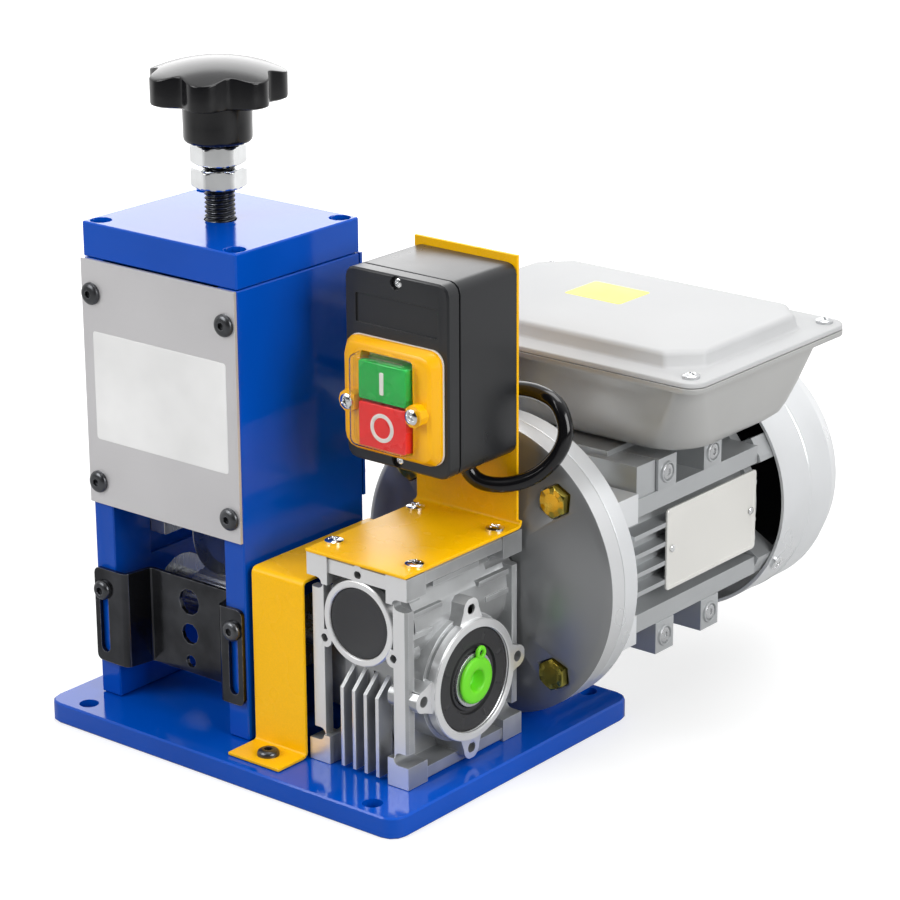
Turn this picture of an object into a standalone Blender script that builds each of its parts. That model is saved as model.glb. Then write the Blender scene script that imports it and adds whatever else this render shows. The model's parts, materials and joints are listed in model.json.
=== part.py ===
"""Bench wire stripping machine: a blue steel base and tower with a hand-set blade wheel,
a worm gearbox that turns the feed roller, and a single-phase motor with its switch box.

Units are metres, +Z is up, the front of the machine faces -Y, and the origin is the centre
of the base plate's underside.
"""
import math

import bmesh
import bpy
from mathutils import Vector

# Shared clearances and roundness
SEAT_GAP = 0.0003
RUN_GAP = 0.0005
OVERRUN = 0.004
LARGE_STEPS = 28
ROUND_STEPS = 20
FINE_STEPS = 16
SMALL_STEPS = 10
TINY_STEPS = 6
CORNER_STEPS = 3
SMOOTH_ANGLE = math.radians(35)

# Base plate
BASE_LENGTH = 0.2095
BASE_DEPTH = 0.170
BASE_THICKNESS = 0.010
BASE_CORNER_RADIUS = 0.008
BASE_EDGE_ROUND = 0.0008
BASE_HOLE_RADIUS = 0.0045
BASE_HOLE_INSET_X = 0.0194
BASE_HOLE_INSET_Y = 0.0085

# Tower of two side plates and a top plate
TOWER_X = -0.04475
TOWER_Y = -0.0225
TOWER_WIDTH = 0.092
TOWER_DEPTH = 0.080
TOWER_HEIGHT = 0.208
SIDE_THICKNESS = 0.012
SIDE_EDGE_ROUND = 0.0006
GROOVE_DEPTH = 0.002
GROOVE_REACH = 0.020
TOP_THICKNESS = 0.016
TOP_EDGE_ROUND = 0.0006
TOP_BOLT_RADIUS = 0.0033
TOP_COUNTERBORE_RADIUS = 0.005
TOP_COUNTERBORE_DEPTH = 0.008
TOP_BOLT_INSET_X = 0.006
TOP_BOLT_INSET_Y = 0.006

# Sheet guards at the front and back of the tower
GUARD_THICKNESS = 0.0015
GUARD_BOTTOM = 0.094
GUARD_HOLE_RADIUS = 0.0026
GUARD_HOLE_INSET_X = 0.006
GUARD_HOLE_INSET_TOP = 0.0155
GUARD_HOLE_INSET_BOTTOM = 0.0105

# Wire guide plate, a bent sheet that slides in two slots
GUIDE_SHEET = 0.002
GUIDE_HEIGHT = 0.0455
GUIDE_BOTTOM = 0.017
GUIDE_SIDE_MARGIN = 0.0004
GUIDE_LEFT_FLANGE = 0.020
GUIDE_RIGHT_FLANGE = 0.015
GUIDE_RECESS = 0.0143
GUIDE_WALL_SLANT = 0.0025
GUIDE_BEND_RADIUS = 0.001
GUIDE_CORNER_RADIUS = 0.003
GUIDE_SLOT_RADIUS = 0.0027
GUIDE_SLOT_INSET = 0.006
GUIDE_SLOT_LOW = 0.0073
GUIDE_SLOT_HIGH = 0.0353
GUIDE_LARGE_HOLE_RADIUS = 0.00625
GUIDE_LARGE_HOLE_HEIGHT = 0.0345
GUIDE_MIDDLE_HOLE_RADIUS = 0.005
GUIDE_MIDDLE_HOLE_HEIGHT = 0.019
GUIDE_SMALL_HOLE_RADIUS = 0.003
GUIDE_SMALL_HOLE_HEIGHT = 0.0055

# Button-head socket screws that hold the guide plate
GUIDE_SCREW_SHANK_RADIUS = 0.0024
GUIDE_SCREW_HEAD_RADIUS = 0.00475
GUIDE_SCREW_HEAD_HEIGHT = 0.0028
GUIDE_SCREW_SOCKET_RADIUS = 0.0018
GUIDE_SCREW_SOCKET_DEPTH = 0.0016
GUIDE_SCREW_DEPTH = 0.010

# Gap between the feed roller and the blade wheel at rest
BLADE_ROLLER_GAP = 0.002

# Slide block that carries the blade wheel between the side plates
SLIDE_DEPTH = 0.040
SLIDE_BELOW_AXIS = 0.0095
SLIDE_FORK_HEIGHT = 0.031
SLIDE_BRIDGE_THICKNESS = 0.018
SLIDE_CHEEK_THICKNESS = 0.0105
SLIDE_EDGE_ROUND = 0.0006
SLIDE_SLOT_FLOOR = 0.005

# Blade wheel and its shaft
BLADE_RADIUS = 0.0275
BLADE_BEVEL_RADIUS = 0.0225
BLADE_HALF_THICKNESS = 0.0022
BLADE_EDGE_HALF_THICKNESS = 0.0002
BLADE_HUB_RADIUS = 0.011
BLADE_HUB_HALF_LENGTH = 0.012
BLADE_SHAFT_RADIUS = 0.006
BLADE_SHAFT_CHAMFER = 0.0008

# Threaded rod, its foot in the slide block, and its two nuts
ROD_RADIUS = 0.0069
ROD_NECK_RADIUS = 0.0048
ROD_FOOT_RADIUS = 0.009
ROD_FOOT_THICKNESS = 0.005
ROD_CHAMFER = 0.001
NUT_FLATS = 0.022
NUT_HEIGHT = 0.0088
NUT_CHAMFER = 0.0014
ROD_SHOWN = 0.0149
NUT_SPACE = 0.0018

# Star knob
KNOB_SPACE = 0.0011
KNOB_LOBES = 7
KNOB_TIP_RADIUS = 0.031
KNOB_VALLEY_RADIUS = 0.021
KNOB_TIP_ANGLE = math.radians(-8)
KNOB_HUB_RADIUS = 0.0153
KNOB_HUB_HEIGHT = 0.018
KNOB_SKIRT_HEIGHT = 0.0128
KNOB_CROWN_HEIGHT = 0.006
KNOB_EDGE_ROUND = 0.0022
KNOB_BORE_DEPTH = 0.0155
KNOB_POINTS_PER_LOBE = 5

# Feed roller and its shaft
ROLLER_RADIUS = 0.0145
ROLLER_TOOTH_DEPTH = 0.0008
ROLLER_TEETH = 30
ROLLER_HALF_LENGTH = 0.020
ROLLER_HUB_RADIUS = 0.010
SHAFT_RADIUS = 0.0072
SHAFT_GEARBOX_RADIUS = 0.0067
SHAFT_CHAMFER = 0.0008
SHAFT_REACH_IN_GEARBOX = 0.018
DRIVE_BEARING_BORE_RADIUS = 0.0075
DRIVE_BEARING_RADIUS = 0.0175
DRIVE_BEARING_WIDTH = 0.011

# Sheet cover over the shaft between the tower and the gearbox
COVER_SHEET = 0.0015
COVER_FRONT = 0.0419
COVER_BACK = 0.0390
COVER_HEIGHT = 0.0835
COVER_FOOT_LENGTH = 0.0181
COVER_TOWER_GAP = 0.0025
COVER_RIGHT_EDGE = 0.0286
COVER_BEND_RADIUS = 0.0015
COVER_HOLE_RADIUS = 0.0027

# Worm gearbox, standard size 30: placed on the base by its own centre
GEARBOX_X = 0.06225
GEARBOX_Y = -0.019
GEARBOX_WIDTH = 0.054
GEARBOX_DEPTH = 0.077
GEARBOX_HEIGHT = 0.097
GEARBOX_EDGE_ROUND = 0.0012
PAD_OUTSET = 0.001
PAD_WIDTH = 0.0105
PAD_DEPTH = 0.012
PAD_HEIGHT = 0.013
PAD_SLOT_HEIGHT = 0.0055
PAD_SLOT_DEPTH = 0.0072
SIDE_POCKET_DEPTH = 0.012
SIDE_POCKET_MARGIN_Y = 0.0048
SIDE_POCKET_MARGIN_Z = 0.0062
FRONT_POCKET_DEPTH = 0.0085
FRONT_POCKET_MARGIN_X = 0.0075
DRUM_RADIUS = 0.029
BARREL_RADIUS = 0.0245
HUB_FACE = 0.0332
HUB_LUG_SETBACK = 0.0020
HUB_RADIUS = 0.0275
LUG_CIRCLE_RADIUS = 0.0325
LUG_RADIUS = 0.0052
LUG_HOLE_RADIUS = 0.0025
LUG_HOLE_DEPTH = 0.010
LUG_THICKNESS = 0.006
LUG_ROOT_REACH = 0.019
LUG_ROOT_HALF_WIDTH = 0.0105
BOSS_RADIUS = 0.0192
BOSS_LUG_CIRCLE_RADIUS = 0.0224
BOSS_LUG_RADIUS = 0.0043
BOSS_LUG_HOLE_RADIUS = 0.0019
BOSS_THICKNESS = 0.009
FRONT_FINS = 4
FRONT_FIN_PITCH = 0.0066
FRONT_FIN_THICKNESS = 0.0018
FRONT_FIN_TOP = 0.046
FRONT_FIN_SLANT = 0.008
SIDE_FIN_THICKNESS = 0.0024
SIDE_FIN_INSET = 0.002
# Each side fin: its height as a share of the gearbox's, and its two ends as shares of its half depth
SIDE_FIN_SHARES = ((0.897, -0.47, 0.34), (0.784, -0.91, -0.31), (0.686, -0.91, -0.49),
                   (0.795, 0.34, 0.91), (0.705, 0.47, 0.91))
FOOT_BOLT_X = 0.022
FOOT_BOLT_Y = 0.027
FOOT_BOLT_HOLE_RADIUS = 0.0033

# Worm and worm wheel
WORM_DROP = 0.027
CENTRE_DISTANCE = 0.030
WHEEL_TEETH = 30
WHEEL_PITCH_RADIUS = 0.0215
WHEEL_FACE_WIDTH = 0.014
WHEEL_BORE_RADIUS = 0.0153
TOOTH_ADDENDUM = 0.00115
TOOTH_DEDENDUM = 0.0017
TOOTH_BACKLASH = 0.0004
PRESSURE_ANGLE = math.radians(20)
WORM_TURNS = 6
WORM_STEPS = 14

# Output hollow shaft, its bearings, seals and plug
HOLLOW_RADIUS = 0.0122
HOLLOW_BORE_RADIUS = 0.007
HOLLOW_SHOULDER_RADIUS = 0.015
HOLLOW_INSET = 0.0004
OUTPUT_BEARING_BORE_RADIUS = 0.0125
OUTPUT_BEARING_RADIUS = 0.0235
OUTPUT_BEARING_WIDTH = 0.012
OUTPUT_BEARING_INNER_FACE = 0.012
SEAL_RECESS = 0.0007
COVER_DISC_RADIUS = 0.0285
PLUG_FLANGE_RADIUS = 0.0107
PLUG_FLANGE_THICKNESS = 0.0018
PLUG_STEM_RADIUS = 0.0065
PLUG_STEM_LENGTH = 0.007
PLUG_DIMPLE_RADIUS = 0.0048
PLUG_DIMPLE_DEPTH = 0.006
PLUG_TAB_RADIUS = 0.0032
PLUG_TAB_HOLE_RADIUS = 0.0013
PLUG_TAB_ANGLE = math.radians(75)

# Worm shaft, its bearings and end cap
WORM_FRONT_RADIUS = 0.0057
WORM_REAR_RADIUS = 0.0097
WORM_BORE_RADIUS = 0.0058
WORM_BORE_BOTTOM = 0.020
WORM_REAR_END = 0.037
WORM_FRONT_BEARING_BORE_RADIUS = 0.006
WORM_FRONT_BEARING_RADIUS = 0.016
WORM_FRONT_BEARING_WIDTH = 0.010
WORM_REAR_BEARING_BORE_RADIUS = 0.010
WORM_REAR_BEARING_RADIUS = 0.021
WORM_REAR_BEARING_WIDTH = 0.012
WORM_REAR_BEARING_FACE = 0.022
END_CAP_THICKNESS = 0.0019
END_CAP_RECESS = 0.0006

# Round input flange and the motor's flanged front shield
FLANGE_BASE_GAP = 0.0005
FLANGE_THICKNESS = 0.0095
FLANGE_FRONT = 0.0403
FLANGE_HUB_RADIUS = 0.030
FLANGE_FACE_RADIUS = 0.0660
FLANGE_RIM_FRONT = 0.0500
FLANGE_CONE_FRONT = 0.0485
FLANGE_JOINT = 0.060
FLANGE_BORE_RADIUS = 0.024
FLANGE_SHELL_DEPTH = 0.006
PILOT_RADIUS = 0.0475
PILOT_DEPTH = 0.004
BOLT_CIRCLE_RADIUS = 0.0575
BOLT_FLATS = 0.013
BOLT_HEAD_HEIGHT = 0.0053
BOLT_RADIUS = 0.0038
BOLT_HEAD_CHAMFER = 0.0007
BOLT_TAIL = 0.009
BOLT_POCKET_FLOOR = 0.0498
BOLT_POCKET_MARGIN = 0.0007
SHIELD_RADIUS = 0.0495
SHIELD_REAR = 0.088
SHIELD_WALL = 0.008
SHIELD_LUG_INNER = 0.030
SHIELD_LUG_OUTER = 0.056
SHIELD_LUG_LOW = 0.022
SHIELD_LUG_HEIGHT = 0.014
SHIELD_LUG_FRONT = 0.0695

# Motor frame with its fins and foot pads
FRAME_RADIUS = 0.048
FRAME_BORE_RADIUS = 0.044
FRAME_REAR = 0.186
FIN_REACH = 0.054
FIN_THICKNESS = 0.0022
FIN_PITCH = 0.0092
SIDE_FIN_COUNT = 4
TOP_FIN_COUNT = 5
RAIL_LOW = 0.0235
RAIL_HEIGHT = 0.0085
FOOT_PAD_REACH = 0.0545
FOOT_PAD_LENGTH = 0.014
FOOT_PAD_HEIGHT = 0.015
FOOT_PAD_CENTRE = 0.0395
EARTH_PAD_Y = 0.0975
EARTH_PAD_SETBACK = 0.0015
FOOT_PAD_FRONT_Y = 0.112
FOOT_PAD_REAR_Y = 0.148
FOOT_PAD_HOLE_RADIUS = 0.003
FOOT_PAD_HOLE_DEPTH = 0.010
SADDLE_TOP = 0.0495
SADDLE_HALF_WIDTH = 0.034
SADDLE_INSET = 0.006

# Rotor, stator, motor bearings, rear shield, fan and fan cover
MOTOR_SHAFT_RADIUS = 0.0055
MOTOR_SHAFT_FRONT = 0.0215
JOURNAL_RADIUS = 0.0057
MOTOR_BEARING_BORE_RADIUS = 0.006
MOTOR_BEARING_RADIUS = 0.016
MOTOR_BEARING_WIDTH = 0.010
FRONT_BEARING_FACE = 0.063
REAR_BEARING_FACE = 0.187
ROTOR_RADIUS = 0.0245
ROTOR_FRONT = 0.104
ROTOR_REAR = 0.161
STATOR_BORE_RADIUS = 0.025
STATOR_FRONT = 0.104
STATOR_REAR = 0.161
WINDING_INNER_RADIUS = 0.028
WINDING_OUTER_RADIUS = 0.040
WINDING_LENGTH = 0.012
REAR_SHIELD_RADIUS = 0.050
REAR_SHIELD_THICKNESS = 0.006
REAR_SPIGOT_DEPTH = 0.006
REAR_BOSS_RADIUS = 0.021
REAR_BOSS_LENGTH = 0.012
REAR_LUG_ANGLE = math.radians(29)
REAR_LUG_WIDTH = 0.012
REAR_LUG_LENGTH = 0.016
FAN_RADIUS = 0.054
FAN_FRONT = 0.213
FAN_PLATE_THICKNESS = 0.002
FAN_BLADE_DEPTH = 0.020
FAN_BLADE_THICKNESS = 0.002
FAN_BLADES = 8
FAN_HUB_RADIUS = 0.012
FAN_HUB_LENGTH = 0.024
FAN_COVER_RADIUS = 0.0628
FAN_COVER_WALL = 0.0015
FAN_COVER_FRONT = 0.1965
FAN_COVER_SHOULDER = 0.238
FAN_COVER_REAR = 0.252
FAN_COVER_BACK_RADIUS = 0.052
FAN_VENT_WIDTH = 0.006
FAN_VENT_INNER = 0.014
FAN_VENT_OUTER = 0.044
FAN_VENTS = 12

# Terminal box on the motor, its lid, capacitor and cable gland
BOX_Y = 0.147
BOX_SADDLE_GAP = 0.0008
BOX_HEIGHT = 0.0400
BOX_WALL = 0.0025
BOX_HALF_LENGTH = 0.080
BOX_HALF_DEPTH = 0.0545
BOX_RIM_OUTSET = 0.0075
BOX_RIM_THICKNESS = 0.0025
BOX_CORNER_RADIUS = 0.010
BOX_FLOOR_INSET = 0.017
BOX_FLOOR_CORNER_RADIUS = 0.022
# Each level of the bowl: its shares of the height, of the floor's inset and of the way from
# the rim's corner radius to the floor's
BOX_LEVEL_SHARES = ((0, 1, 1), (0.07, 0.58, 0.95), (0.22, 0.40, 0.80), (0.45, 0.26, 0.50))
LID_RIM_THICKNESS = 0.0025
LID_RAISE = 0.0085
LID_SHOULDER = 0.0115
LID_CORNER_CUT = 0.013
LID_RIM_RADIUS = 0.006
LID_SCREW_INSET = 0.0085
LID_SCREW_HOLE_RADIUS = 0.0022
CAPACITOR_RADIUS = 0.0165
CAPACITOR_LENGTH = 0.068
GLAND_X = -0.026
GLAND_HEIGHT = 0.0195
GLAND_RADIUS = 0.0080
GLAND_NUT_RADIUS = 0.0100
GLAND_LENGTH = 0.012
GLAND_FLANGE = 0.003

# Switch bracket and switch box
BRACKET_SHEET = 0.0015
BRACKET_HALF_WIDTH = 0.028
BRACKET_FRONT = 0.0404
BRACKET_BACK = 0.0400
BRACKET_HEIGHT = 0.124
BRACKET_UPRIGHT_SHIFT = -0.0025
BRACKET_UPRIGHT_HALF_WIDTH = 0.0285
BRACKET_BEND_RADIUS = 0.0015
BRACKET_BEND_ZONE = 0.004
BRACKET_HOLE_RADIUS = 0.0022
BRACKET_HOLE_X = 0.0225
BRACKET_HOLE_Y = 0.0275
SWITCH_LIFT = 0.0345
SWITCH_WIDTH = 0.057
SWITCH_HEIGHT = 0.086
SWITCH_BODY_DEPTH = 0.0382
SWITCH_COVER_DEPTH = 0.0079
SWITCH_WALL = 0.0025
SWITCH_CORNER_RADIUS = 0.005
SWITCH_SCREW_INSET = 0.0035
SWITCH_SCREW_RECESS_RADIUS = 0.0032
SWITCH_SCREW_RECESS_DEPTH = 0.0018
NAME_RECESS_WIDTH = 0.045
NAME_RECESS_HEIGHT = 0.0130
NAME_RECESS_Z = 0.0685
NAME_RECESS_DEPTH = 0.0008
BEZEL_WIDTH = 0.052
BEZEL_HEIGHT = 0.051
BEZEL_Z = 0.0315
BEZEL_DEPTH = 0.0065
BEZEL_TAPER = 0.004
BEZEL_CORNER_RADIUS = 0.006
WINDOW_WIDTH = 0.0285
WINDOW_HEIGHT = 0.0415
WINDOW_CORNER_RADIUS = 0.0015
EAR_X = 0.0180
EAR_Z = -0.0015
EAR_RADIUS = 0.0050
EAR_DEPTH = 0.0045
BUTTON_WIDTH = 0.0260
GREEN_BUTTON_HEIGHT = 0.0170
RED_BUTTON_HEIGHT = 0.0200
BUTTON_SPLIT = 0.0012
BUTTON_PROUD = 0.0030
BUTTON_DEPTH = 0.012
BUTTON_CORNER_RADIUS = 0.001
BUTTON_TRAVEL = 0.003
BUTTON_STEM_RADIUS = 0.003
CONTACT_BLOCK_WIDTH = 0.034
CONTACT_BLOCK_HEIGHT = 0.050
CONTACT_BLOCK_FRONT = 0.0130
CONTACT_HOLE_DEPTH = 0.009
LEAD_HOLE_X = 0.012
LEAD_HOLE_Y = 0.024

# Black lead from the switch box to the terminal box
LEAD_RADIUS = 0.0035

# Places that follow from the sizes
TOWER_HALF = TOWER_WIDTH / 2
INNER_HALF = TOWER_HALF - SIDE_THICKNESS
DRIVE_Y_IN_TOWER = GEARBOX_Y - TOWER_Y
ROD_Y_IN_SLIDE = TOWER_Y - GEARBOX_Y
TOWER_X_FROM_GEARBOX = TOWER_X - GEARBOX_X
SLIDE_HALF_WIDTH = INNER_HALF + GROOVE_DEPTH - SEAT_GAP
SLIDE_TOP = SLIDE_FORK_HEIGHT + SLIDE_BRIDGE_THICKNESS
WORM_HEIGHT = GEARBOX_HEIGHT - WORM_DROP
DRIVE_HEIGHT = WORM_HEIGHT - CENTRE_DISTANCE
BLADE_HEIGHT = DRIVE_HEIGHT + ROLLER_RADIUS + BLADE_ROLLER_GAP + BLADE_RADIUS
GROOVE_BOTTOM = BLADE_HEIGHT - GROOVE_REACH
LOWER_NUT_HEIGHT = TOWER_HEIGHT + SEAT_GAP + TOP_THICKNESS + ROD_SHOWN
UPPER_NUT_HEIGHT = LOWER_NUT_HEIGHT + NUT_HEIGHT + NUT_SPACE
KNOB_BOTTOM = UPPER_NUT_HEIGHT + NUT_HEIGHT + KNOB_SPACE
HOLLOW_HALF_LENGTH = HUB_FACE - HOLLOW_INSET
FLANGE_RADIUS = WORM_HEIGHT - FLANGE_BASE_GAP
BOX_BOTTOM_Z = WORM_HEIGHT + SADDLE_TOP + BOX_SADDLE_GAP
SWITCH_BOTTOM = GEARBOX_HEIGHT + SWITCH_LIFT
WORM_PITCH_RADIUS = CENTRE_DISTANCE - WHEEL_PITCH_RADIUS
THREAD_PITCH = 2 * math.pi * WHEEL_PITCH_RADIUS / WHEEL_TEETH
LEAD_ANGLE = math.atan2(THREAD_PITCH / (2 * math.pi), WORM_PITCH_RADIUS)
GEARBOX_FRONT = GEARBOX_DEPTH / 2


def clear_scene():
    """Remove whatever the file holds."""
    for item in list(bpy.data.objects):
        bpy.data.objects.remove(item, do_unlink=True)


def finish(name, colour, roughness, metallic):
    """A Principled material with the part's colour, roughness and metallic value."""
    material = bpy.data.materials.new(name)
    material.use_nodes = True
    shader = material.node_tree.nodes["Principled BSDF"]
    shader.inputs["Base Color"].default_value = (*colour, 1.0)
    shader.inputs["Roughness"].default_value = roughness
    shader.inputs["Metallic"].default_value = metallic
    material.diffuse_color = (*colour, 1.0)
    return material


def place(name, location, parent=None):
    """An empty that carries a group of pieces, on their joint axis if they move."""
    empty = bpy.data.objects.new(name, None)
    empty.location = location
    empty.parent = parent
    bpy.context.collection.objects.link(empty)
    return empty


def turn_to_axis(point, axis):
    """Carry a point drawn for a piece along local Z to a piece along the named axis."""
    across, up, along = point
    if axis == "X":
        return Vector((along, across, up))
    if axis == "Y":
        return Vector((across, along, up))
    return Vector((across, up, along))


def close_faces(bm, faces):
    """Point the faces of one closed shell outward."""
    bmesh.ops.recalc_face_normals(bm, faces=faces)


def add_loft(bm, rings):
    """Close a stack of equal point rings into one shell, with flat ends."""
    rows = [[bm.verts.new(point) for point in ring] for ring in rings]
    faces = []
    for lower, upper in zip(rows, rows[1:]):
        count = len(lower)
        for index in range(count):
            after = (index + 1) % count
            faces.append(bm.faces.new((lower[index], lower[after], upper[after], upper[index])))
    faces.append(bm.faces.new(list(reversed(rows[0]))))
    faces.append(bm.faces.new(rows[-1]))
    close_faces(bm, faces)


def add_prism(bm, outline, low, high, axis="Z", centre=(0, 0)):
    """A flat outline drawn out from low to high along an axis."""
    rings = []
    for along in (low, high):
        rings.append([turn_to_axis((u + centre[0], v + centre[1], along), axis) for u, v in outline])
    add_loft(bm, rings)


def add_box(bm, low, high):
    """A box between two corners."""
    corners = [(low[0], low[1]), (high[0], low[1]), (high[0], high[1]), (low[0], high[1])]
    add_prism(bm, corners, low[2], high[2])


def add_spoke_box(bm, angle, reach, along, width):
    """A box that points outward like a spoke round local Y, at an angle."""
    outward = Vector((math.cos(angle), math.sin(angle)))
    across = Vector((-outward.y, outward.x)) * width / 2
    corners = [outward * reach[0] - across, outward * reach[1] - across,
               outward * reach[1] + across, outward * reach[0] + across]
    add_prism(bm, [tuple(corner) for corner in corners], along[0], along[1], "Y")


def circle(radius, steps, start=0.0):
    """Points round a circle."""
    angles = [start + 2 * math.pi * index / steps for index in range(steps)]
    return [(radius * math.cos(angle), radius * math.sin(angle)) for angle in angles]


def add_disc(bm, radius, low, high, axis="Z", centre=(0, 0), steps=FINE_STEPS):
    """A round bar from low to high along an axis."""
    add_prism(bm, circle(radius, steps), low, high, axis, centre)


def add_turned(bm, profile, axis="Z", centre=(0, 0), steps=ROUND_STEPS):
    """Turn a profile of (radius, along) points round an axis.

    A profile that starts and ends at radius 0 gives a solid piece, and any other is closed
    on itself and gives a ring."""
    solid = profile[0][0] == 0 and profile[-1][0] == 0
    rows = []
    for radius, along in profile:
        if radius == 0:
            rows.append([bm.verts.new(turn_to_axis((centre[0], centre[1], along), axis))])
            continue
        points = [(x + centre[0], y + centre[1], along) for x, y in circle(radius, steps)]
        rows.append([bm.verts.new(turn_to_axis(point, axis)) for point in points])
    pairs = list(zip(rows, rows[1:]))
    if not solid:
        pairs.append((rows[-1], rows[0]))
    faces = []
    for lower, upper in pairs:
        for index in range(steps):
            after = (index + 1) % steps
            if len(lower) == 1:
                corners = (lower[0], upper[after], upper[index])
            elif len(upper) == 1:
                corners = (lower[index], lower[after], upper[0])
            else:
                corners = (lower[index], lower[after], upper[after], upper[index])
            faces.append(bm.faces.new(corners))
    close_faces(bm, faces)


def ring_profile(inner, outer, low, high):
    """The four corners of a plain ring."""
    return [(outer, high), (outer, low), (inner, low), (inner, high)]


def rounded_rectangle(width, height, radius, steps=CORNER_STEPS):
    """A rectangle about its own centre with round corners."""
    points = []
    quarter = math.pi / 2
    centres = [(1, 1), (-1, 1), (-1, -1), (1, -1)]
    for number, (side_x, side_y) in enumerate(centres):
        centre_x = side_x * (width / 2 - radius)
        centre_y = side_y * (height / 2 - radius)
        for step in range(steps + 1):
            angle = quarter * (number + step / steps)
            points.append((centre_x + radius * math.cos(angle), centre_y + radius * math.sin(angle)))
    return points


def slot_outline(radius, low, high, steps=SMALL_STEPS):
    """A slot with round ends, upright, with its end centres at low and high."""
    half = steps // 2
    upper = [(radius * math.cos(math.pi * i / half), high + radius * math.sin(math.pi * i / half))
             for i in range(half + 1)]
    lower = [(-x, low + high - y) for x, y in upper]
    return upper + lower


def hexagon(flats):
    """A hexagon with two flats across the first direction."""
    return circle(flats / math.sqrt(3), 6, math.pi / 6)


def bent_sheet(path, thickness, bend_radius, steps=CORNER_STEPS):
    """The outline of a bent sheet whose one face follows the path and whose other face lies
    on the path's left, with each bend round."""
    near = [Vector(path[0])]
    far = []
    heading = (Vector(path[1]) - Vector(path[0])).normalized()
    far.append(near[0] + thickness * Vector((-heading.y, heading.x)))
    for before, corner, after in zip(path, path[1:], path[2:]):
        inward = (Vector(corner) - Vector(before)).normalized()
        outward = (Vector(after) - Vector(corner)).normalized()
        turn = math.atan2(inward.cross(outward), inward.dot(outward))
        side = 1 if turn > 0 else -1
        near_radius = bend_radius + thickness if side > 0 else bend_radius
        start = Vector(corner) - inward * near_radius * math.tan(abs(turn) / 2)
        normal = Vector((-inward.y, inward.x)) * side
        centre = start + normal * near_radius
        far_radius = near_radius - side * thickness
        for step in range(steps + 1):
            angle = turn * step / steps
            spoke = -normal
            turned = Vector((spoke.x * math.cos(angle) - spoke.y * math.sin(angle),
                             spoke.x * math.sin(angle) + spoke.y * math.cos(angle)))
            near.append(centre + turned * near_radius)
            far.append(centre + turned * far_radius)
    heading = (Vector(path[-1]) - Vector(path[-2])).normalized()
    near.append(Vector(path[-1]))
    far.append(near[-1] + thickness * Vector((-heading.y, heading.x)))
    return [tuple(point) for point in near + list(reversed(far))]


def make(name, bm, material, parent):
    """Turn a mesh under construction into a named object in its parent's frame."""
    mesh = bpy.data.meshes.new(name)
    bm.to_mesh(mesh)
    bm.free()
    mesh.shade_smooth()
    mesh.set_sharp_from_angle(angle=SMOOTH_ANGLE)
    piece = bpy.data.objects.new(name, mesh)
    piece.parent = parent
    if material is not None:
        mesh.materials.append(material)
    bpy.context.collection.objects.link(piece)
    return piece


def shape(builder, *values, **options):
    """A new mesh under construction that holds one shape."""
    bm = bmesh.new()
    builder(bm, *values, **options)
    return bm


def combine(target, bm, operation, solver="EXACT"):
    """Join a tool mesh to a piece, or take it away, with a Boolean."""
    count = len(target.modifiers)
    tool = make(f"{target.name}_tool_{count}", bm, None, target.parent)
    tool.hide_render = True
    tool.display_type = "WIRE"
    step = target.modifiers.new(f"{operation.lower()} {count}", "BOOLEAN")
    step.operation = operation
    step.solver = solver
    step.object = tool


def cut(target, bm):
    combine(target, bm, "DIFFERENCE")


def fuse(target, bm, solver="EXACT"):
    combine(target, bm, "UNION", solver)


def keep_inside(target, bm):
    combine(target, bm, "INTERSECT")


def soften(target, width):
    """Round the sharp edges a little."""
    step = target.modifiers.new("edge round", "BEVEL")
    step.width = width
    step.segments = 1
    step.limit_method = "ANGLE"
    step.angle_limit = SMOOTH_ANGLE


def make_base_plate(blue):
    outline = rounded_rectangle(BASE_LENGTH, BASE_DEPTH, BASE_CORNER_RADIUS)
    base = make("base_plate", shape(add_prism, outline, 0, BASE_THICKNESS), blue, None)
    soften(base, BASE_EDGE_ROUND)
    holes = bmesh.new()
    for side_x in (-1, 1):
        for side_y in (-1, 1):
            centre = (side_x * (BASE_LENGTH / 2 - BASE_HOLE_INSET_X),
                      side_y * (BASE_DEPTH / 2 - BASE_HOLE_INSET_Y))
            add_disc(holes, BASE_HOLE_RADIUS, -OVERRUN, BASE_THICKNESS + OVERRUN, "Z", centre)
    cut(base, holes)


def make_side_plate(name, side, tower, blue):
    """One upright plate with its slide groove, bearing bore and guide screw hole."""
    inner = side * INNER_HALF
    outer = side * TOWER_HALF
    low = (min(inner, outer), -TOWER_DEPTH / 2, 0)
    high = (max(inner, outer), TOWER_DEPTH / 2, TOWER_HEIGHT)
    plate = make(name, shape(add_box, low, high), blue, tower)
    soften(plate, SIDE_EDGE_ROUND)
    groove_back = side * (INNER_HALF + GROOVE_DEPTH)
    groove_front = side * (INNER_HALF - OVERRUN)
    half = SLIDE_DEPTH / 2 + SEAT_GAP
    cut(plate, shape(add_box,
                     (min(groove_back, groove_front), DRIVE_Y_IN_TOWER - half, GROOVE_BOTTOM),
                     (max(groove_back, groove_front), DRIVE_Y_IN_TOWER + half, TOWER_HEIGHT + OVERRUN)))
    cut(plate, shape(add_disc, DRIVE_BEARING_RADIUS + SEAT_GAP, low[0] - OVERRUN, high[0] + OVERRUN, "X",
                     (DRIVE_Y_IN_TOWER, DRIVE_HEIGHT), ROUND_STEPS))
    screw_place = (side * (TOWER_HALF - GUIDE_SLOT_INSET), GUIDE_BOTTOM + GUIDE_SLOT_HIGH)
    cut(plate, shape(add_disc, GUIDE_SCREW_SHANK_RADIUS + SEAT_GAP, -TOWER_DEPTH / 2 - OVERRUN,
                     -TOWER_DEPTH / 2 + GUIDE_SCREW_DEPTH + SEAT_GAP, "Y", screw_place, TINY_STEPS))


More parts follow.
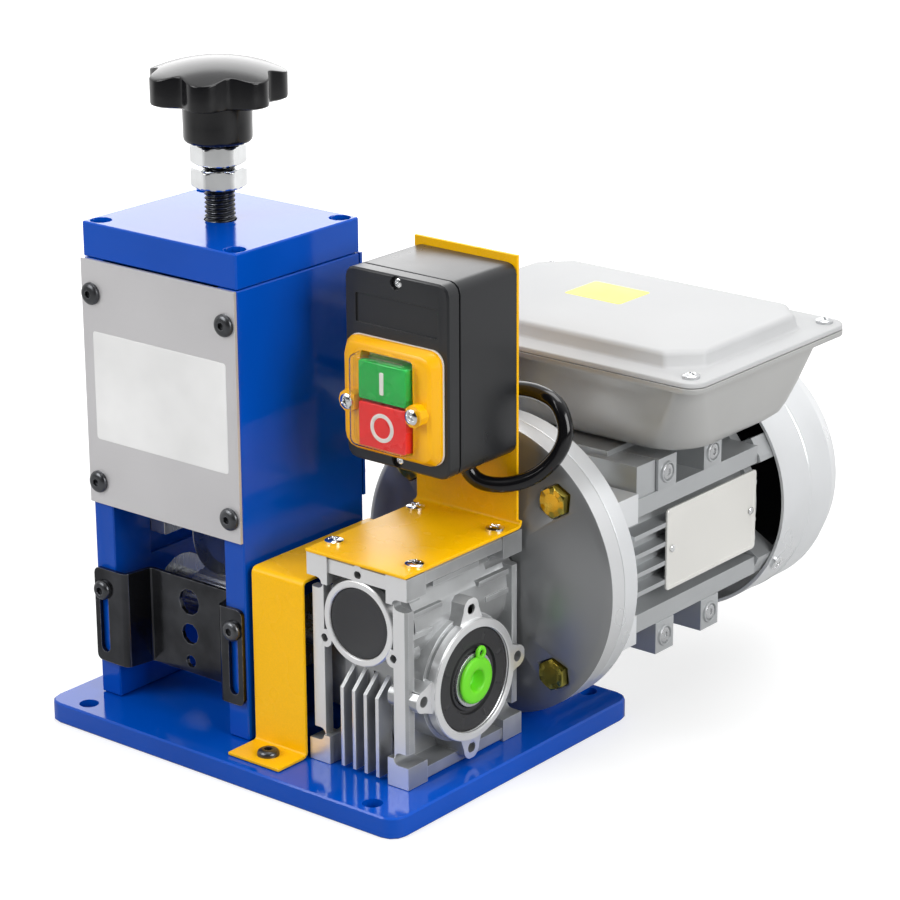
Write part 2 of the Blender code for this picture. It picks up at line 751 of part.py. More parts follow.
def make_top_plate(tower, blue):
    low_z = TOWER_HEIGHT + SEAT_GAP
    high_z = low_z + TOP_THICKNESS
    plate = make("top_plate", shape(add_box, (-TOWER_HALF, -TOWER_DEPTH / 2, low_z),
                                    (TOWER_HALF, TOWER_DEPTH / 2, high_z)), blue, tower)
    soften(plate, TOP_EDGE_ROUND)
    holes = bmesh.new()
    add_disc(holes, ROD_RADIUS + RUN_GAP, low_z - OVERRUN, high_z + OVERRUN)
    for side_x in (-1, 1):
        for side_y in (-1, 1):
            centre = (side_x * (TOWER_HALF - TOP_BOLT_INSET_X), side_y * (TOWER_DEPTH / 2 - TOP_BOLT_INSET_Y))
            add_turned(holes, [(0, high_z + OVERRUN), (TOP_COUNTERBORE_RADIUS, high_z + OVERRUN),
                               (TOP_COUNTERBORE_RADIUS, high_z - TOP_COUNTERBORE_DEPTH),
                               (TOP_BOLT_RADIUS, high_z - TOP_COUNTERBORE_DEPTH),
                               (TOP_BOLT_RADIUS, low_z - OVERRUN), (0, low_z - OVERRUN)],
                       "Z", centre, SMALL_STEPS)
    cut(plate, holes)


def make_guard(name, facing, tower, metal):
    """A flat guard screwed on the edges of both side plates; facing is -1 in front, 1 behind."""
    near = facing * (TOWER_DEPTH / 2 + SEAT_GAP)
    far = facing * (TOWER_DEPTH / 2 + SEAT_GAP + GUARD_THICKNESS)
    guard = make(name, shape(add_box, (-TOWER_HALF, min(near, far), GUARD_BOTTOM),
                             (TOWER_HALF, max(near, far), TOWER_HEIGHT)), metal, tower)
    holes = bmesh.new()
    for side in (-1, 1):
        for height in (GUARD_BOTTOM + GUARD_HOLE_INSET_BOTTOM, TOWER_HEIGHT - GUARD_HOLE_INSET_TOP):
            add_disc(holes, GUARD_HOLE_RADIUS, min(near, far) - OVERRUN, max(near, far) + OVERRUN, "Y",
                     (side * (TOWER_HALF - GUARD_HOLE_INSET_X), height), TINY_STEPS)
    cut(guard, holes)


def make_guide_plate(guide, black):
    """A hat-shaped sheet: two slotted flanges and a set-back panel with three wire holes."""
    front = -SEAT_GAP - GUIDE_SHEET
    back = front + GUIDE_RECESS
    edge = TOWER_HALF - GUIDE_SIDE_MARGIN
    left = -TOWER_HALF + GUIDE_LEFT_FLANGE
    right = TOWER_HALF - GUIDE_RIGHT_FLANGE
    path = [(-edge, front), (left, front), (left + GUIDE_WALL_SLANT, back),
            (right - GUIDE_WALL_SLANT, back), (right, front), (edge, front)]
    sheet = bent_sheet(path, GUIDE_SHEET, GUIDE_BEND_RADIUS)
    plate = make("guide_plate", shape(add_prism, sheet, 0, GUIDE_HEIGHT), black, guide)
    corner = rounded_rectangle(2 * edge, GUIDE_HEIGHT, GUIDE_CORNER_RADIUS)
    keep_inside(plate, shape(add_prism, corner, front - OVERRUN, back + GUIDE_SHEET + OVERRUN, "Y",
                             (0, GUIDE_HEIGHT / 2)))
    slots = bmesh.new()
    for side in (-1, 1):
        add_prism(slots, slot_outline(GUIDE_SLOT_RADIUS, GUIDE_SLOT_LOW, GUIDE_SLOT_HIGH), front - OVERRUN,
                  front + GUIDE_SHEET + OVERRUN, "Y", (side * (TOWER_HALF - GUIDE_SLOT_INSET), 0))
    for radius, height in ((GUIDE_LARGE_HOLE_RADIUS, GUIDE_LARGE_HOLE_HEIGHT),
                           (GUIDE_MIDDLE_HOLE_RADIUS, GUIDE_MIDDLE_HOLE_HEIGHT),
                           (GUIDE_SMALL_HOLE_RADIUS, GUIDE_SMALL_HOLE_HEIGHT)):
        add_disc(slots, radius, back - OVERRUN, back + GUIDE_SHEET + OVERRUN, "Y", (0, height), SMALL_STEPS)
    cut(plate, slots)


def make_guide_screw(name, side, tower, black):
    """A button-head socket screw through the guide plate's slot into the side plate."""
    edge = -TOWER_DEPTH / 2
    seat = edge - 2 * SEAT_GAP - GUIDE_SHEET
    crown = seat - GUIDE_SCREW_HEAD_HEIGHT
    centre = (side * (TOWER_HALF - GUIDE_SLOT_INSET), GUIDE_BOTTOM + GUIDE_SLOT_HIGH)
    dome = []
    for step in range(CORNER_STEPS):
        angle = math.pi / 2 * step / CORNER_STEPS
        dome.append((GUIDE_SCREW_HEAD_RADIUS * math.cos(angle),
                     seat - GUIDE_SCREW_HEAD_HEIGHT * math.sin(angle)))
    profile = [(0, edge + GUIDE_SCREW_DEPTH), (GUIDE_SCREW_SHANK_RADIUS, edge + GUIDE_SCREW_DEPTH),
               (GUIDE_SCREW_SHANK_RADIUS, seat)] + dome + [(0, crown)]
    screw = make(name, shape(add_turned, profile, "Y", centre, TINY_STEPS), black, tower)
    cut(screw, shape(add_prism, hexagon(2 * GUIDE_SCREW_SOCKET_RADIUS), crown - OVERRUN,
                     crown + GUIDE_SCREW_SOCKET_DEPTH, "Y", centre))


def make_slide_block(blade, steel):
    """A forked block that runs in the side plates' grooves, with a T-slot for the rod's foot."""
    half_depth = SLIDE_DEPTH / 2
    block = make("slide_block", shape(add_box, (-SLIDE_HALF_WIDTH, -half_depth, -SLIDE_BELOW_AXIS),
                                      (SLIDE_HALF_WIDTH, half_depth, SLIDE_TOP)), steel, blade)
    soften(block, SLIDE_EDGE_ROUND)
    fork = SLIDE_HALF_WIDTH - SLIDE_CHEEK_THICKNESS
    cut(block, shape(add_box, (-fork, -half_depth - OVERRUN, -SLIDE_BELOW_AXIS - OVERRUN),
                     (fork, half_depth + OVERRUN, SLIDE_FORK_HEIGHT)))
    cut(block, shape(add_disc, BLADE_SHAFT_RADIUS + SEAT_GAP, -SLIDE_HALF_WIDTH - OVERRUN,
                     SLIDE_HALF_WIDTH + OVERRUN, "X"))
    foot_floor = SLIDE_FORK_HEIGHT + SLIDE_SLOT_FLOOR
    foot_top = foot_floor + ROD_FOOT_THICKNESS + 2 * SEAT_GAP
    foot_radius = ROD_FOOT_RADIUS + SEAT_GAP
    neck_radius = ROD_NECK_RADIUS + SEAT_GAP
    front = -half_depth - OVERRUN
    cut(block, shape(add_prism, slot_in_plan(foot_radius, front), foot_floor, foot_top))
    cut(block, shape(add_prism, slot_in_plan(neck_radius, front), foot_top - SEAT_GAP, SLIDE_TOP + OVERRUN))


def slot_in_plan(radius, front):
    """A slot seen from above: round about the rod's axis and open to the front."""
    half = FINE_STEPS // 2
    arc = [(radius * math.cos(math.pi * i / half), ROD_Y_IN_SLIDE + radius * math.sin(math.pi * i / half))
           for i in range(half + 1)]
    return arc + [(-radius, front), (radius, front)]


def make_blade_shaft(blade, steel):
    end = SLIDE_HALF_WIDTH - RUN_GAP
    radius = BLADE_SHAFT_RADIUS
    make("blade_shaft", shape(add_turned, chamfered_bar(radius, -end, end, BLADE_SHAFT_CHAMFER), "X",
                              steps=FINE_STEPS), steel, blade)


def chamfered_bar(radius, low, high, chamfer):
    """The profile of a round bar with chamfered ends."""
    return [(0, high), (radius - chamfer, high), (radius, high - chamfer), (radius, low + chamfer),
            (radius - chamfer, low), (0, low)]


def make_blade_wheel(blade, dark_steel):
    """A hubbed cutting disc with a sharp bevelled rim."""
    bore = BLADE_SHAFT_RADIUS + SEAT_GAP
    hub = BLADE_HUB_HALF_LENGTH
    side = [(bore, hub), (BLADE_HUB_RADIUS, hub), (BLADE_HUB_RADIUS, BLADE_HALF_THICKNESS),
            (BLADE_BEVEL_RADIUS, BLADE_HALF_THICKNESS), (BLADE_RADIUS, BLADE_EDGE_HALF_THICKNESS)]
    profile = side + [(radius, -along) for radius, along in reversed(side)]
    make("blade_wheel", shape(add_turned, profile, "X"), dark_steel, blade)


def make_threaded_rod(rod, black):
    """The feed rod: a foot in the slide block's T-slot, a neck, and the threaded length."""
    foot = SLIDE_FORK_HEIGHT + SLIDE_SLOT_FLOOR + SEAT_GAP + BLADE_HEIGHT
    shoulder = SLIDE_TOP + SEAT_GAP + BLADE_HEIGHT
    top = KNOB_BOTTOM + KNOB_BORE_DEPTH - SEAT_GAP
    profile = [(0, top), (ROD_RADIUS - ROD_CHAMFER, top), (ROD_RADIUS, top - ROD_CHAMFER),
               (ROD_RADIUS, shoulder), (ROD_NECK_RADIUS, shoulder),
               (ROD_NECK_RADIUS, foot + ROD_FOOT_THICKNESS), (ROD_FOOT_RADIUS, foot + ROD_FOOT_THICKNESS),
               (ROD_FOOT_RADIUS, foot), (0, foot)]
    make("threaded_rod", shape(add_turned, profile, steps=FINE_STEPS), black, rod)


def make_nut(name, bottom, rod, zinc):
    """A hexagon nut with chamfered corners."""
    top = bottom + NUT_HEIGHT
    nut = make(name, shape(add_prism, hexagon(NUT_FLATS), bottom, top), zinc, rod)
    corner = NUT_FLATS / math.sqrt(3)
    flat = NUT_FLATS / 2
    keep_inside(nut, shape(add_turned, [(0, top), (flat, top), (corner + NUT_CHAMFER, top - NUT_CHAMFER),
                                        (corner + NUT_CHAMFER, bottom + NUT_CHAMFER), (flat, bottom),
                                        (0, bottom)]))
    cut(nut, shape(add_disc, ROD_RADIUS + SEAT_GAP, bottom - OVERRUN, top + OVERRUN))


def knob_ring(height, lobe_share, scale):
    """One level of the knob: a circle of the hub's size swollen into lobes by a share."""
    points = []
    count = KNOB_LOBES * KNOB_POINTS_PER_LOBE
    middle = (KNOB_TIP_RADIUS + KNOB_VALLEY_RADIUS) / 2
    swing = (KNOB_TIP_RADIUS - KNOB_VALLEY_RADIUS) / 2
    for index in range(count):
        angle = 2 * math.pi * index / count
        wave = math.cos(KNOB_LOBES * (angle - KNOB_TIP_ANGLE))
        lobed = middle + swing * wave
        radius = scale * (KNOB_HUB_RADIUS + lobe_share * (lobed - KNOB_HUB_RADIUS))
        points.append((radius * math.cos(angle), radius * math.sin(angle), height))
    return points


def make_star_knob(rod, plastic):
    """A seven-lobed knob: hub, skirt and a low crown, lofted through level rings."""
    skirt = KNOB_BOTTOM + KNOB_HUB_HEIGHT
    rim = skirt + KNOB_SKIRT_HEIGHT
    crown = rim + KNOB_CROWN_HEIGHT
    edge = KNOB_EDGE_ROUND
    level_shares = ((KNOB_BOTTOM, 0, 1 - edge / KNOB_HUB_RADIUS), (KNOB_BOTTOM + edge, 0, 1),
                    (skirt, 0, 1), (skirt + edge / 2, 0.9, 0.98), (skirt + edge, 1, 1),
                    (rim - edge, 1, 1), (rim, 1, 0.965), (rim + KNOB_CROWN_HEIGHT / 2, 0.95, 0.8),
                    (crown - edge / 2, 0.7, 0.55), (crown, 0.3, 0.3))
    rings = [knob_ring(height, share, scale) for height, share, scale in level_shares]
    knob = make("star_knob", shape(add_loft, rings), plastic, rod)
    cut(knob, shape(add_disc, ROD_RADIUS + SEAT_GAP, KNOB_BOTTOM - OVERRUN, KNOB_BOTTOM + KNOB_BORE_DEPTH))


def make_feed_roller(drive, steel):
    """A fluted roller with a plain hub that reaches both bearings."""
    tower = TOWER_X_FROM_GEARBOX
    outline = []
    for index in range(2 * ROLLER_TEETH):
        radius = ROLLER_RADIUS if index % 2 else ROLLER_RADIUS - ROLLER_TOOTH_DEPTH
        angle = math.pi * index / ROLLER_TEETH
        outline.append((radius * math.cos(angle), radius * math.sin(angle)))
    roller = make("feed_roller", shape(add_prism, outline, tower - ROLLER_HALF_LENGTH,
                                       tower + ROLLER_HALF_LENGTH, "X"), steel, drive)
    hub_end = TOWER_HALF - DRIVE_BEARING_WIDTH - RUN_GAP - SEAT_GAP
    fuse(roller, shape(add_disc, ROLLER_HUB_RADIUS, tower - hub_end, tower + hub_end, "X"))
    cut(roller, shape(add_disc, SHAFT_RADIUS + SEAT_GAP, tower - hub_end - OVERRUN,
                      tower + hub_end + OVERRUN, "X"))


def make_drive_shaft(drive, steel):
    """One shaft from the tower's outer bearing into the gearbox's hollow shaft."""
    start = TOWER_X_FROM_GEARBOX - TOWER_HALF + RUN_GAP
    step = TOWER_X_FROM_GEARBOX + TOWER_HALF + RUN_GAP
    end = SHAFT_REACH_IN_GEARBOX
    profile = [(0, end), (SHAFT_GEARBOX_RADIUS - SHAFT_CHAMFER, end),
               (SHAFT_GEARBOX_RADIUS, end - SHAFT_CHAMFER), (SHAFT_GEARBOX_RADIUS, step),
               (SHAFT_RADIUS, step), (SHAFT_RADIUS, start + SHAFT_CHAMFER),
               (SHAFT_RADIUS - SHAFT_CHAMFER, start), (0, start)]
    make("drive_shaft", shape(add_turned, profile, "X", steps=FINE_STEPS), steel, drive)


def make_bearing(name, axis, sizes, low, parent, steel):
    """A ball bearing as one ring, from its low face, with sizes (bore, radius, width)."""
    bore, radius, width = sizes
    make(name, shape(add_turned, ring_profile(bore, radius, low, low + width), axis, steps=FINE_STEPS),
         steel, parent)


def make_shaft_cover(gearbox, yellow):
    """A bent sheet hood over the shaft, with a foot in front and behind."""
    left = TOWER_X_FROM_GEARBOX + TOWER_HALF + COVER_TOWER_GAP
    right = -COVER_RIGHT_EDGE
    front = COVER_FRONT
    foot = front + COVER_FOOT_LENGTH
    back = COVER_BACK
    path = [(back + COVER_FOOT_LENGTH, COVER_SHEET), (back, COVER_SHEET), (back, COVER_HEIGHT),
            (-front, COVER_HEIGHT), (-front, COVER_SHEET), (-foot, COVER_SHEET)]
    cover = make("shaft_cover", shape(add_prism, bent_sheet(path, COVER_SHEET, COVER_BEND_RADIUS),
                                      left, right, "X"), yellow, gearbox)
    holes = bmesh.new()
    for middle in (-front - COVER_FOOT_LENGTH / 2, back + COVER_FOOT_LENGTH / 2):
        add_disc(holes, COVER_HOLE_RADIUS, -OVERRUN, COVER_SHEET + OVERRUN, "Z",
                 ((left + right) / 2, middle), TINY_STEPS)
    cut(cover, holes)


def add_eight_corners(bm, inner, outer):
    """A box in each of the gearbox's eight corners, mirrored from one corner's two points."""
    middle = GEARBOX_HEIGHT / 2
    for side_x in (-1, 1):
        for side_y in (-1, 1):
            for side_z in (-1, 1):
                low = (side_x * inner[0], side_y * inner[1], middle + side_z * inner[2])
                high = (side_x * outer[0], side_y * outer[1], middle + side_z * outer[2])
                add_box(bm, tuple(map(min, low, high)), tuple(map(max, low, high)))


def gearbox_castings(housing):
    """The outer forms of the casting: corner pads, drum, barrel, hub, bosses and fins."""
    half_width = GEARBOX_WIDTH / 2
    half_height = GEARBOX_HEIGHT / 2
    pads = bmesh.new()
    add_eight_corners(pads, (half_width - PAD_WIDTH, GEARBOX_FRONT - PAD_DEPTH, half_height - PAD_HEIGHT),
                      (half_width + PAD_OUTSET, GEARBOX_FRONT + PAD_OUTSET, half_height))
    fuse(housing, pads)
    fuse(housing, shape(add_disc, DRUM_RADIUS, -half_width - PAD_OUTSET, half_width, "X", (0, DRIVE_HEIGHT),
                        ROUND_STEPS))
    fuse(housing, shape(add_disc, BARREL_RADIUS, -GEARBOX_FRONT + BOSS_THICKNESS, GEARBOX_FRONT + PAD_OUTSET,
                        "Y", (0, WORM_HEIGHT), ROUND_STEPS))
    fuse(housing, shape(add_disc, HUB_RADIUS, 0, HUB_FACE, "X", (0, DRIVE_HEIGHT), ROUND_STEPS))
    lugs = bmesh.new()
    for index in range(4):
        add_prism(lugs, ear_outline(math.pi / 2 * index), HUB_FACE - LUG_THICKNESS - SIDE_POCKET_DEPTH,
                  HUB_FACE - HUB_LUG_SETBACK, "X", (0, DRIVE_HEIGHT))
    fuse(housing, lugs)
    fuse(housing, shape(add_disc, BOSS_RADIUS, -GEARBOX_FRONT, -GEARBOX_FRONT + BOSS_THICKNESS + OVERRUN, "Y",
                        (0, WORM_HEIGHT), ROUND_STEPS))
    bosses = bmesh.new()
    for index in range(3):
        centre = boss_lug_centre(index)
        add_disc(bosses, BOSS_LUG_RADIUS, -GEARBOX_FRONT, -GEARBOX_FRONT + BOSS_THICKNESS + OVERRUN, "Y",
                 centre, SMALL_STEPS)
    fuse(housing, bosses)
    fins = bmesh.new()
    floor = -GEARBOX_FRONT + FRONT_POCKET_DEPTH
    slanted = [(-GEARBOX_FRONT, PAD_OUTSET), (floor + OVERRUN, PAD_OUTSET), (floor + OVERRUN, FRONT_FIN_TOP),
               (floor, FRONT_FIN_TOP), (-GEARBOX_FRONT, FRONT_FIN_TOP - FRONT_FIN_SLANT)]
    for index in range(FRONT_FINS):
        middle = FRONT_FIN_PITCH * (index - (FRONT_FINS - 1) / 2)
        add_prism(fins, slanted, middle - FRONT_FIN_THICKNESS / 2, middle + FRONT_FIN_THICKNESS / 2, "X")
    fuse(housing, fins)
    ribs = bmesh.new()
    for height_share, start_share, stop_share in SIDE_FIN_SHARES:
        height = GEARBOX_HEIGHT * height_share
        for side in (-1, 1):
            near = side * (half_width - SIDE_POCKET_DEPTH - OVERRUN)
            far = side * (half_width - SIDE_FIN_INSET)
            add_box(ribs, (min(near, far), GEARBOX_FRONT * start_share, height),
                    (max(near, far), GEARBOX_FRONT * stop_share, height + SIDE_FIN_THICKNESS))
    fuse(housing, ribs)


def ear_outline(angle):
    """A screw ear of the output hub that points outward at an angle: wide at its root inside
    the hub, round at its end."""
    half = SMALL_STEPS // 2
    points = [(LUG_ROOT_REACH, LUG_ROOT_HALF_WIDTH), (LUG_ROOT_REACH, -LUG_ROOT_HALF_WIDTH)]
    for step in range(half + 1):
        turn = math.pi * (step / half - 1 / 2)
        points.append((LUG_CIRCLE_RADIUS + LUG_RADIUS * math.cos(turn), LUG_RADIUS * math.sin(turn)))
    return [(u * math.cos(angle) - v * math.sin(angle), u * math.sin(angle) + v * math.cos(angle))
            for u, v in points]


def boss_lug_centre(index):
    """The place of one of three lugs round the worm's front boss, one of them at the top."""
    angle = math.pi / 2 + 2 * math.pi * index / 3
    return (BOSS_LUG_CIRCLE_RADIUS * math.cos(angle),
            WORM_HEIGHT + BOSS_LUG_CIRCLE_RADIUS * math.sin(angle))


def gearbox_bores(housing):
    """The inner spaces: wheel chamber, output bore, worm bores and screw holes."""
    half_width = GEARBOX_WIDTH / 2
    chamber = WHEEL_PITCH_RADIUS + TOOTH_ADDENDUM + TOOTH_DEDENDUM
    left = -half_width - PAD_OUTSET - OVERRUN
    cut(housing, shape(add_disc, chamber, left, OUTPUT_BEARING_INNER_FACE, "X", (0, DRIVE_HEIGHT), ROUND_STEPS))
    cut(housing, shape(add_disc, OUTPUT_BEARING_RADIUS + SEAT_GAP, 0, HUB_FACE + OVERRUN, "X",
                       (0, DRIVE_HEIGHT), ROUND_STEPS))
    front_face = -GEARBOX_FRONT - PAD_OUTSET - OVERRUN
    front_bearing = WORM_FRONT_BEARING_RADIUS + SEAT_GAP
    front_stop = -GEARBOX_FRONT + END_CAP_RECESS + END_CAP_THICKNESS + SEAT_GAP + WORM_FRONT_BEARING_WIDTH
    rear_bearing = WORM_REAR_BEARING_RADIUS + SEAT_GAP
    worm_room = WORM_PITCH_RADIUS + TOOTH_ADDENDUM + TOOTH_DEDENDUM
    cut(housing, shape(add_turned,
                       [(0, GEARBOX_FRONT + PAD_OUTSET + OVERRUN),
                        (rear_bearing, GEARBOX_FRONT + PAD_OUTSET + OVERRUN),
                        (rear_bearing, WORM_REAR_BEARING_FACE - SEAT_GAP),
                        (worm_room, WORM_REAR_BEARING_FACE - SEAT_GAP), (worm_room, front_stop + SEAT_GAP),
                        (front_bearing, front_stop + SEAT_GAP), (front_bearing, front_face), (0, front_face)],
                       "Y", (0, WORM_HEIGHT)))
    screws = bmesh.new()
    for index in range(4):
        angle = math.pi / 2 * index
        centre = (LUG_CIRCLE_RADIUS * math.cos(angle), DRIVE_HEIGHT + LUG_CIRCLE_RADIUS * math.sin(angle))
        add_disc(screws, LUG_HOLE_RADIUS, HUB_FACE - LUG_HOLE_DEPTH, HUB_FACE + OVERRUN, "X", centre,
                 TINY_STEPS)
    for index in range(3):
        add_disc(screws, BOSS_LUG_HOLE_RADIUS, front_face, -GEARBOX_FRONT + BOSS_THICKNESS, "Y",
                 boss_lug_centre(index), TINY_STEPS)
    cut(housing, screws)


def corner_slots():
    """A slot with a round inner end beside each of the eight corner pads, for its nut."""
    slots = bmesh.new()
    radius = PAD_SLOT_HEIGHT / 2
    round_end = GEARBOX_WIDTH / 2 - PAD_SLOT_DEPTH + radius
    outside = GEARBOX_WIDTH / 2 + OVERRUN
    quarter = CORNER_STEPS
    for side_x in (-1, 1):
        outline = [(side_x * outside, radius)]
        for step in range(2 * quarter + 1):
            turn = math.pi * (1 / 2 + step / (2 * quarter))
            outline.append((side_x * (round_end + radius * math.cos(turn)), radius * math.sin(turn)))
        outline.append((side_x * outside, -radius))
        for height in (PAD_HEIGHT, GEARBOX_HEIGHT - PAD_HEIGHT):
            for low, high in ((-GEARBOX_FRONT - OVERRUN, -GEARBOX_FRONT + PAD_DEPTH + OVERRUN),
                              (GEARBOX_FRONT - PAD_DEPTH - OVERRUN, GEARBOX_FRONT + OVERRUN)):
                add_prism(slots, outline, low, high, "Y", (0, height))
    return slots


def make_gearbox_housing(gearbox, cast):
    """The cast housing: a block hollowed at the sides and front, with its drum, barrel, hub,
    corner pads and fins, and the chambers that hold the worm and the wheel."""
    half_width = GEARBOX_WIDTH / 2
    housing = make("gearbox_housing", shape(add_box, (-half_width, -GEARBOX_FRONT, 0),
                                            (half_width, GEARBOX_FRONT, GEARBOX_HEIGHT)), cast, gearbox)
    soften(housing, GEARBOX_EDGE_ROUND)
    pockets = bmesh.new()
    deep = half_width - SIDE_POCKET_DEPTH
    reach = GEARBOX_FRONT - SIDE_POCKET_MARGIN_Y
    for side in (-1, 1):
        near = side * deep
        far = side * (half_width + OVERRUN)
        add_box(pockets, (min(near, far), -reach, SIDE_POCKET_MARGIN_Z),
                (max(near, far), reach, GEARBOX_HEIGHT - SIDE_POCKET_MARGIN_Z))
    cut(housing, pockets)
    span = half_width - FRONT_POCKET_MARGIN_X
    cut(housing, shape(add_box, (-span, -GEARBOX_FRONT - OVERRUN, -OVERRUN),
                       (span, -GEARBOX_FRONT + FRONT_POCKET_DEPTH, GEARBOX_HEIGHT - FRONT_POCKET_MARGIN_X)))
    gearbox_castings(housing)
    cut(housing, corner_slots())
    gearbox_bores(housing)


def make_output_cover(gearbox, cast):
    """The round cover on the tower side, which seats one bearing and one seal."""
    chamber = WHEEL_PITCH_RADIUS + TOOTH_ADDENDUM + TOOTH_DEDENDUM - SEAT_GAP
    bore = OUTPUT_BEARING_RADIUS + SEAT_GAP
    seat = -GEARBOX_WIDTH / 2 - PAD_OUTSET - SEAT_GAP
    profile = [(bore, -HUB_FACE), (COVER_DISC_RADIUS, -HUB_FACE), (COVER_DISC_RADIUS, seat),
               (chamber, seat), (chamber, -OUTPUT_BEARING_INNER_FACE), (bore, -OUTPUT_BEARING_INNER_FACE)]
    make("output_cover", shape(add_turned, profile, "X", (0, DRIVE_HEIGHT)), cast, gearbox)


def make_seal(name, side, gearbox, rubber):
    """A lip seal flush in the hub's mouth."""
    inner_end = OUTPUT_BEARING_INNER_FACE + OUTPUT_BEARING_WIDTH + SEAT_GAP
    outer_end = HUB_FACE - SEAL_RECESS
    low, high = sorted((side * inner_end, side * outer_end))
    profile = ring_profile(HOLLOW_RADIUS + SEAT_GAP, OUTPUT_BEARING_RADIUS, low, high)
    make(name, shape(add_turned, profile, "X", (0, DRIVE_HEIGHT)), rubber, gearbox)


def make_hollow_shaft(drive, steel):
    """The gearbox's hollow output shaft, with a shoulder that carries the wheel."""
    shoulder = OUTPUT_BEARING_INNER_FACE - SEAT_GAP
    end = HOLLOW_HALF_LENGTH
    profile = [(HOLLOW_BORE_RADIUS, end), (HOLLOW_RADIUS, end), (HOLLOW_RADIUS, shoulder),
               (HOLLOW_SHOULDER_RADIUS, shoulder), (HOLLOW_SHOULDER_RADIUS, -shoulder),
               (HOLLOW_RADIUS, -shoulder), (HOLLOW_RADIUS, -end), (HOLLOW_BORE_RADIUS, -end)]
    make("output_shaft", shape(add_turned, profile, "X"), steel, drive)


def make_output_plug(drive, green):
    """The soft plug in the hollow shaft's mouth, dimpled, with a small eyelet tab."""
    face = HOLLOW_HALF_LENGTH + SEAT_GAP
    crown = face + PLUG_FLANGE_THICKNESS
    profile = [(0, crown - PLUG_DIMPLE_DEPTH), (PLUG_DIMPLE_RADIUS, crown - PLUG_DIMPLE_DEPTH),
               (PLUG_DIMPLE_RADIUS, crown), (PLUG_FLANGE_RADIUS, crown), (PLUG_FLANGE_RADIUS, face),
               (PLUG_STEM_RADIUS, face), (PLUG_STEM_RADIUS, face - PLUG_STEM_LENGTH),
               (0, face - PLUG_STEM_LENGTH)]
    plug = make("output_plug", shape(add_turned, profile, "X", steps=FINE_STEPS), green, drive)
    tab_reach = PLUG_FLANGE_RADIUS + PLUG_TAB_RADIUS / 2
    centre = (tab_reach * math.cos(PLUG_TAB_ANGLE), tab_reach * math.sin(PLUG_TAB_ANGLE))
    fuse(plug, shape(add_disc, PLUG_TAB_RADIUS, face, crown, "X", centre, SMALL_STEPS))
    cut(plug, shape(add_disc, PLUG_TAB_HOLE_RADIUS, face - OVERRUN / 4, crown + OVERRUN, "X", centre,
                    TINY_STEPS))


def make_worm_wheel(drive, bronze):
    """A helical wheel whose trapezoid teeth follow the worm's lead angle."""
    per_tooth = 2 * math.pi / WHEEL_TEETH
    tip = WHEEL_PITCH_RADIUS + TOOTH_ADDENDUM
    root = WHEEL_PITCH_RADIUS - TOOTH_DEDENDUM
    half_pitch_line = (THREAD_PITCH / 2 - TOOTH_BACKLASH) / 2
    rings = []
    layers = 2
    for layer in range(layers):
        along = WHEEL_FACE_WIDTH * (layer / (layers - 1) - 1 / 2)
        twist = along * math.tan(LEAD_ANGLE) / WHEEL_PITCH_RADIUS
        ring = []
        for tooth in range(WHEEL_TEETH):
            middle = per_tooth * (tooth + 1 / 2) + twist
            for radius, side in ((root, -1), (tip, -1), (tip, 1), (root, 1)):
                half = half_pitch_line - (radius - WHEEL_PITCH_RADIUS) * math.tan(PRESSURE_ANGLE)
                angle = middle + side * half / radius
                ring.append((along, -radius * math.sin(angle), radius * math.cos(angle)))
        rings.append(ring)
    wheel = make("worm_wheel", shape(add_loft, rings), bronze, drive)
    cut(wheel, shape(add_disc, WHEEL_BORE_RADIUS, -WHEEL_FACE_WIDTH, WHEEL_FACE_WIDTH, "X"))


def worm_thread():
    """The worm's threaded length as one skin: a trapezoid profile that advances one pitch a turn.

    An even number of turns puts a crest straight under the middle, in a space of the wheel."""
    tip = WORM_PITCH_RADIUS + TOOTH_ADDENDUM
    root = WORM_PITCH_RADIUS - TOOTH_DEDENDUM
    half_pitch_line = (THREAD_PITCH / 2 - TOOTH_BACKLASH) / 2
    slope = math.tan(PRESSURE_ANGLE)
    tip_half = half_pitch_line - TOOTH_ADDENDUM * slope
    root_half = half_pitch_line + TOOTH_DEDENDUM * slope
    profile = ((-root_half, root), (-tip_half, tip), (tip_half, tip), (root_half, root))
    first = -THREAD_PITCH * WORM_TURNS / 2
    bm = bmesh.new()
    columns = []
    for step in range(WORM_STEPS):
        angle = 2 * math.pi * step / WORM_STEPS
        column = []
        for turn in range(WORM_TURNS):
            for along, radius in profile:
                y = first + THREAD_PITCH * (turn + step / WORM_STEPS) + along
                # The angle is counted about +Y from straight down, where the wheel is.
                column.append(bm.verts.new((-radius * math.sin(angle), y, -radius * math.cos(angle))))
        columns.append(column)
    per_turn = len(profile)
    columns.append(columns[0][per_turn:])
    for step in range(WORM_STEPS):
        here = columns[step]
        there = columns[step + 1]
        for row in range(min(len(here), len(there)) - 1):
            bm.faces.new((here[row], here[row + 1], there[row + 1], there[row]))
    front = bm.verts.new((0, first - THREAD_PITCH, 0))
    rear = bm.verts.new((0, -first + THREAD_PITCH / 2, 0))
    for apex in (front, rear):
        open_edges = [edge for edge in bm.edges if len(edge.link_faces) == 1]
        near = [edge for edge in open_edges
                if (edge.verts[0].co.y + edge.verts[1].co.y < 0) == (apex.co.y < 0)]
        for edge in near:
            bm.faces.new((edge.verts[0], edge.verts[1], apex))
    close_faces(bm, bm.faces[:])
    if bm.calc_volume(signed=True) < 0:
        bmesh.ops.reverse_faces(bm, faces=bm.faces[:])
    return bm


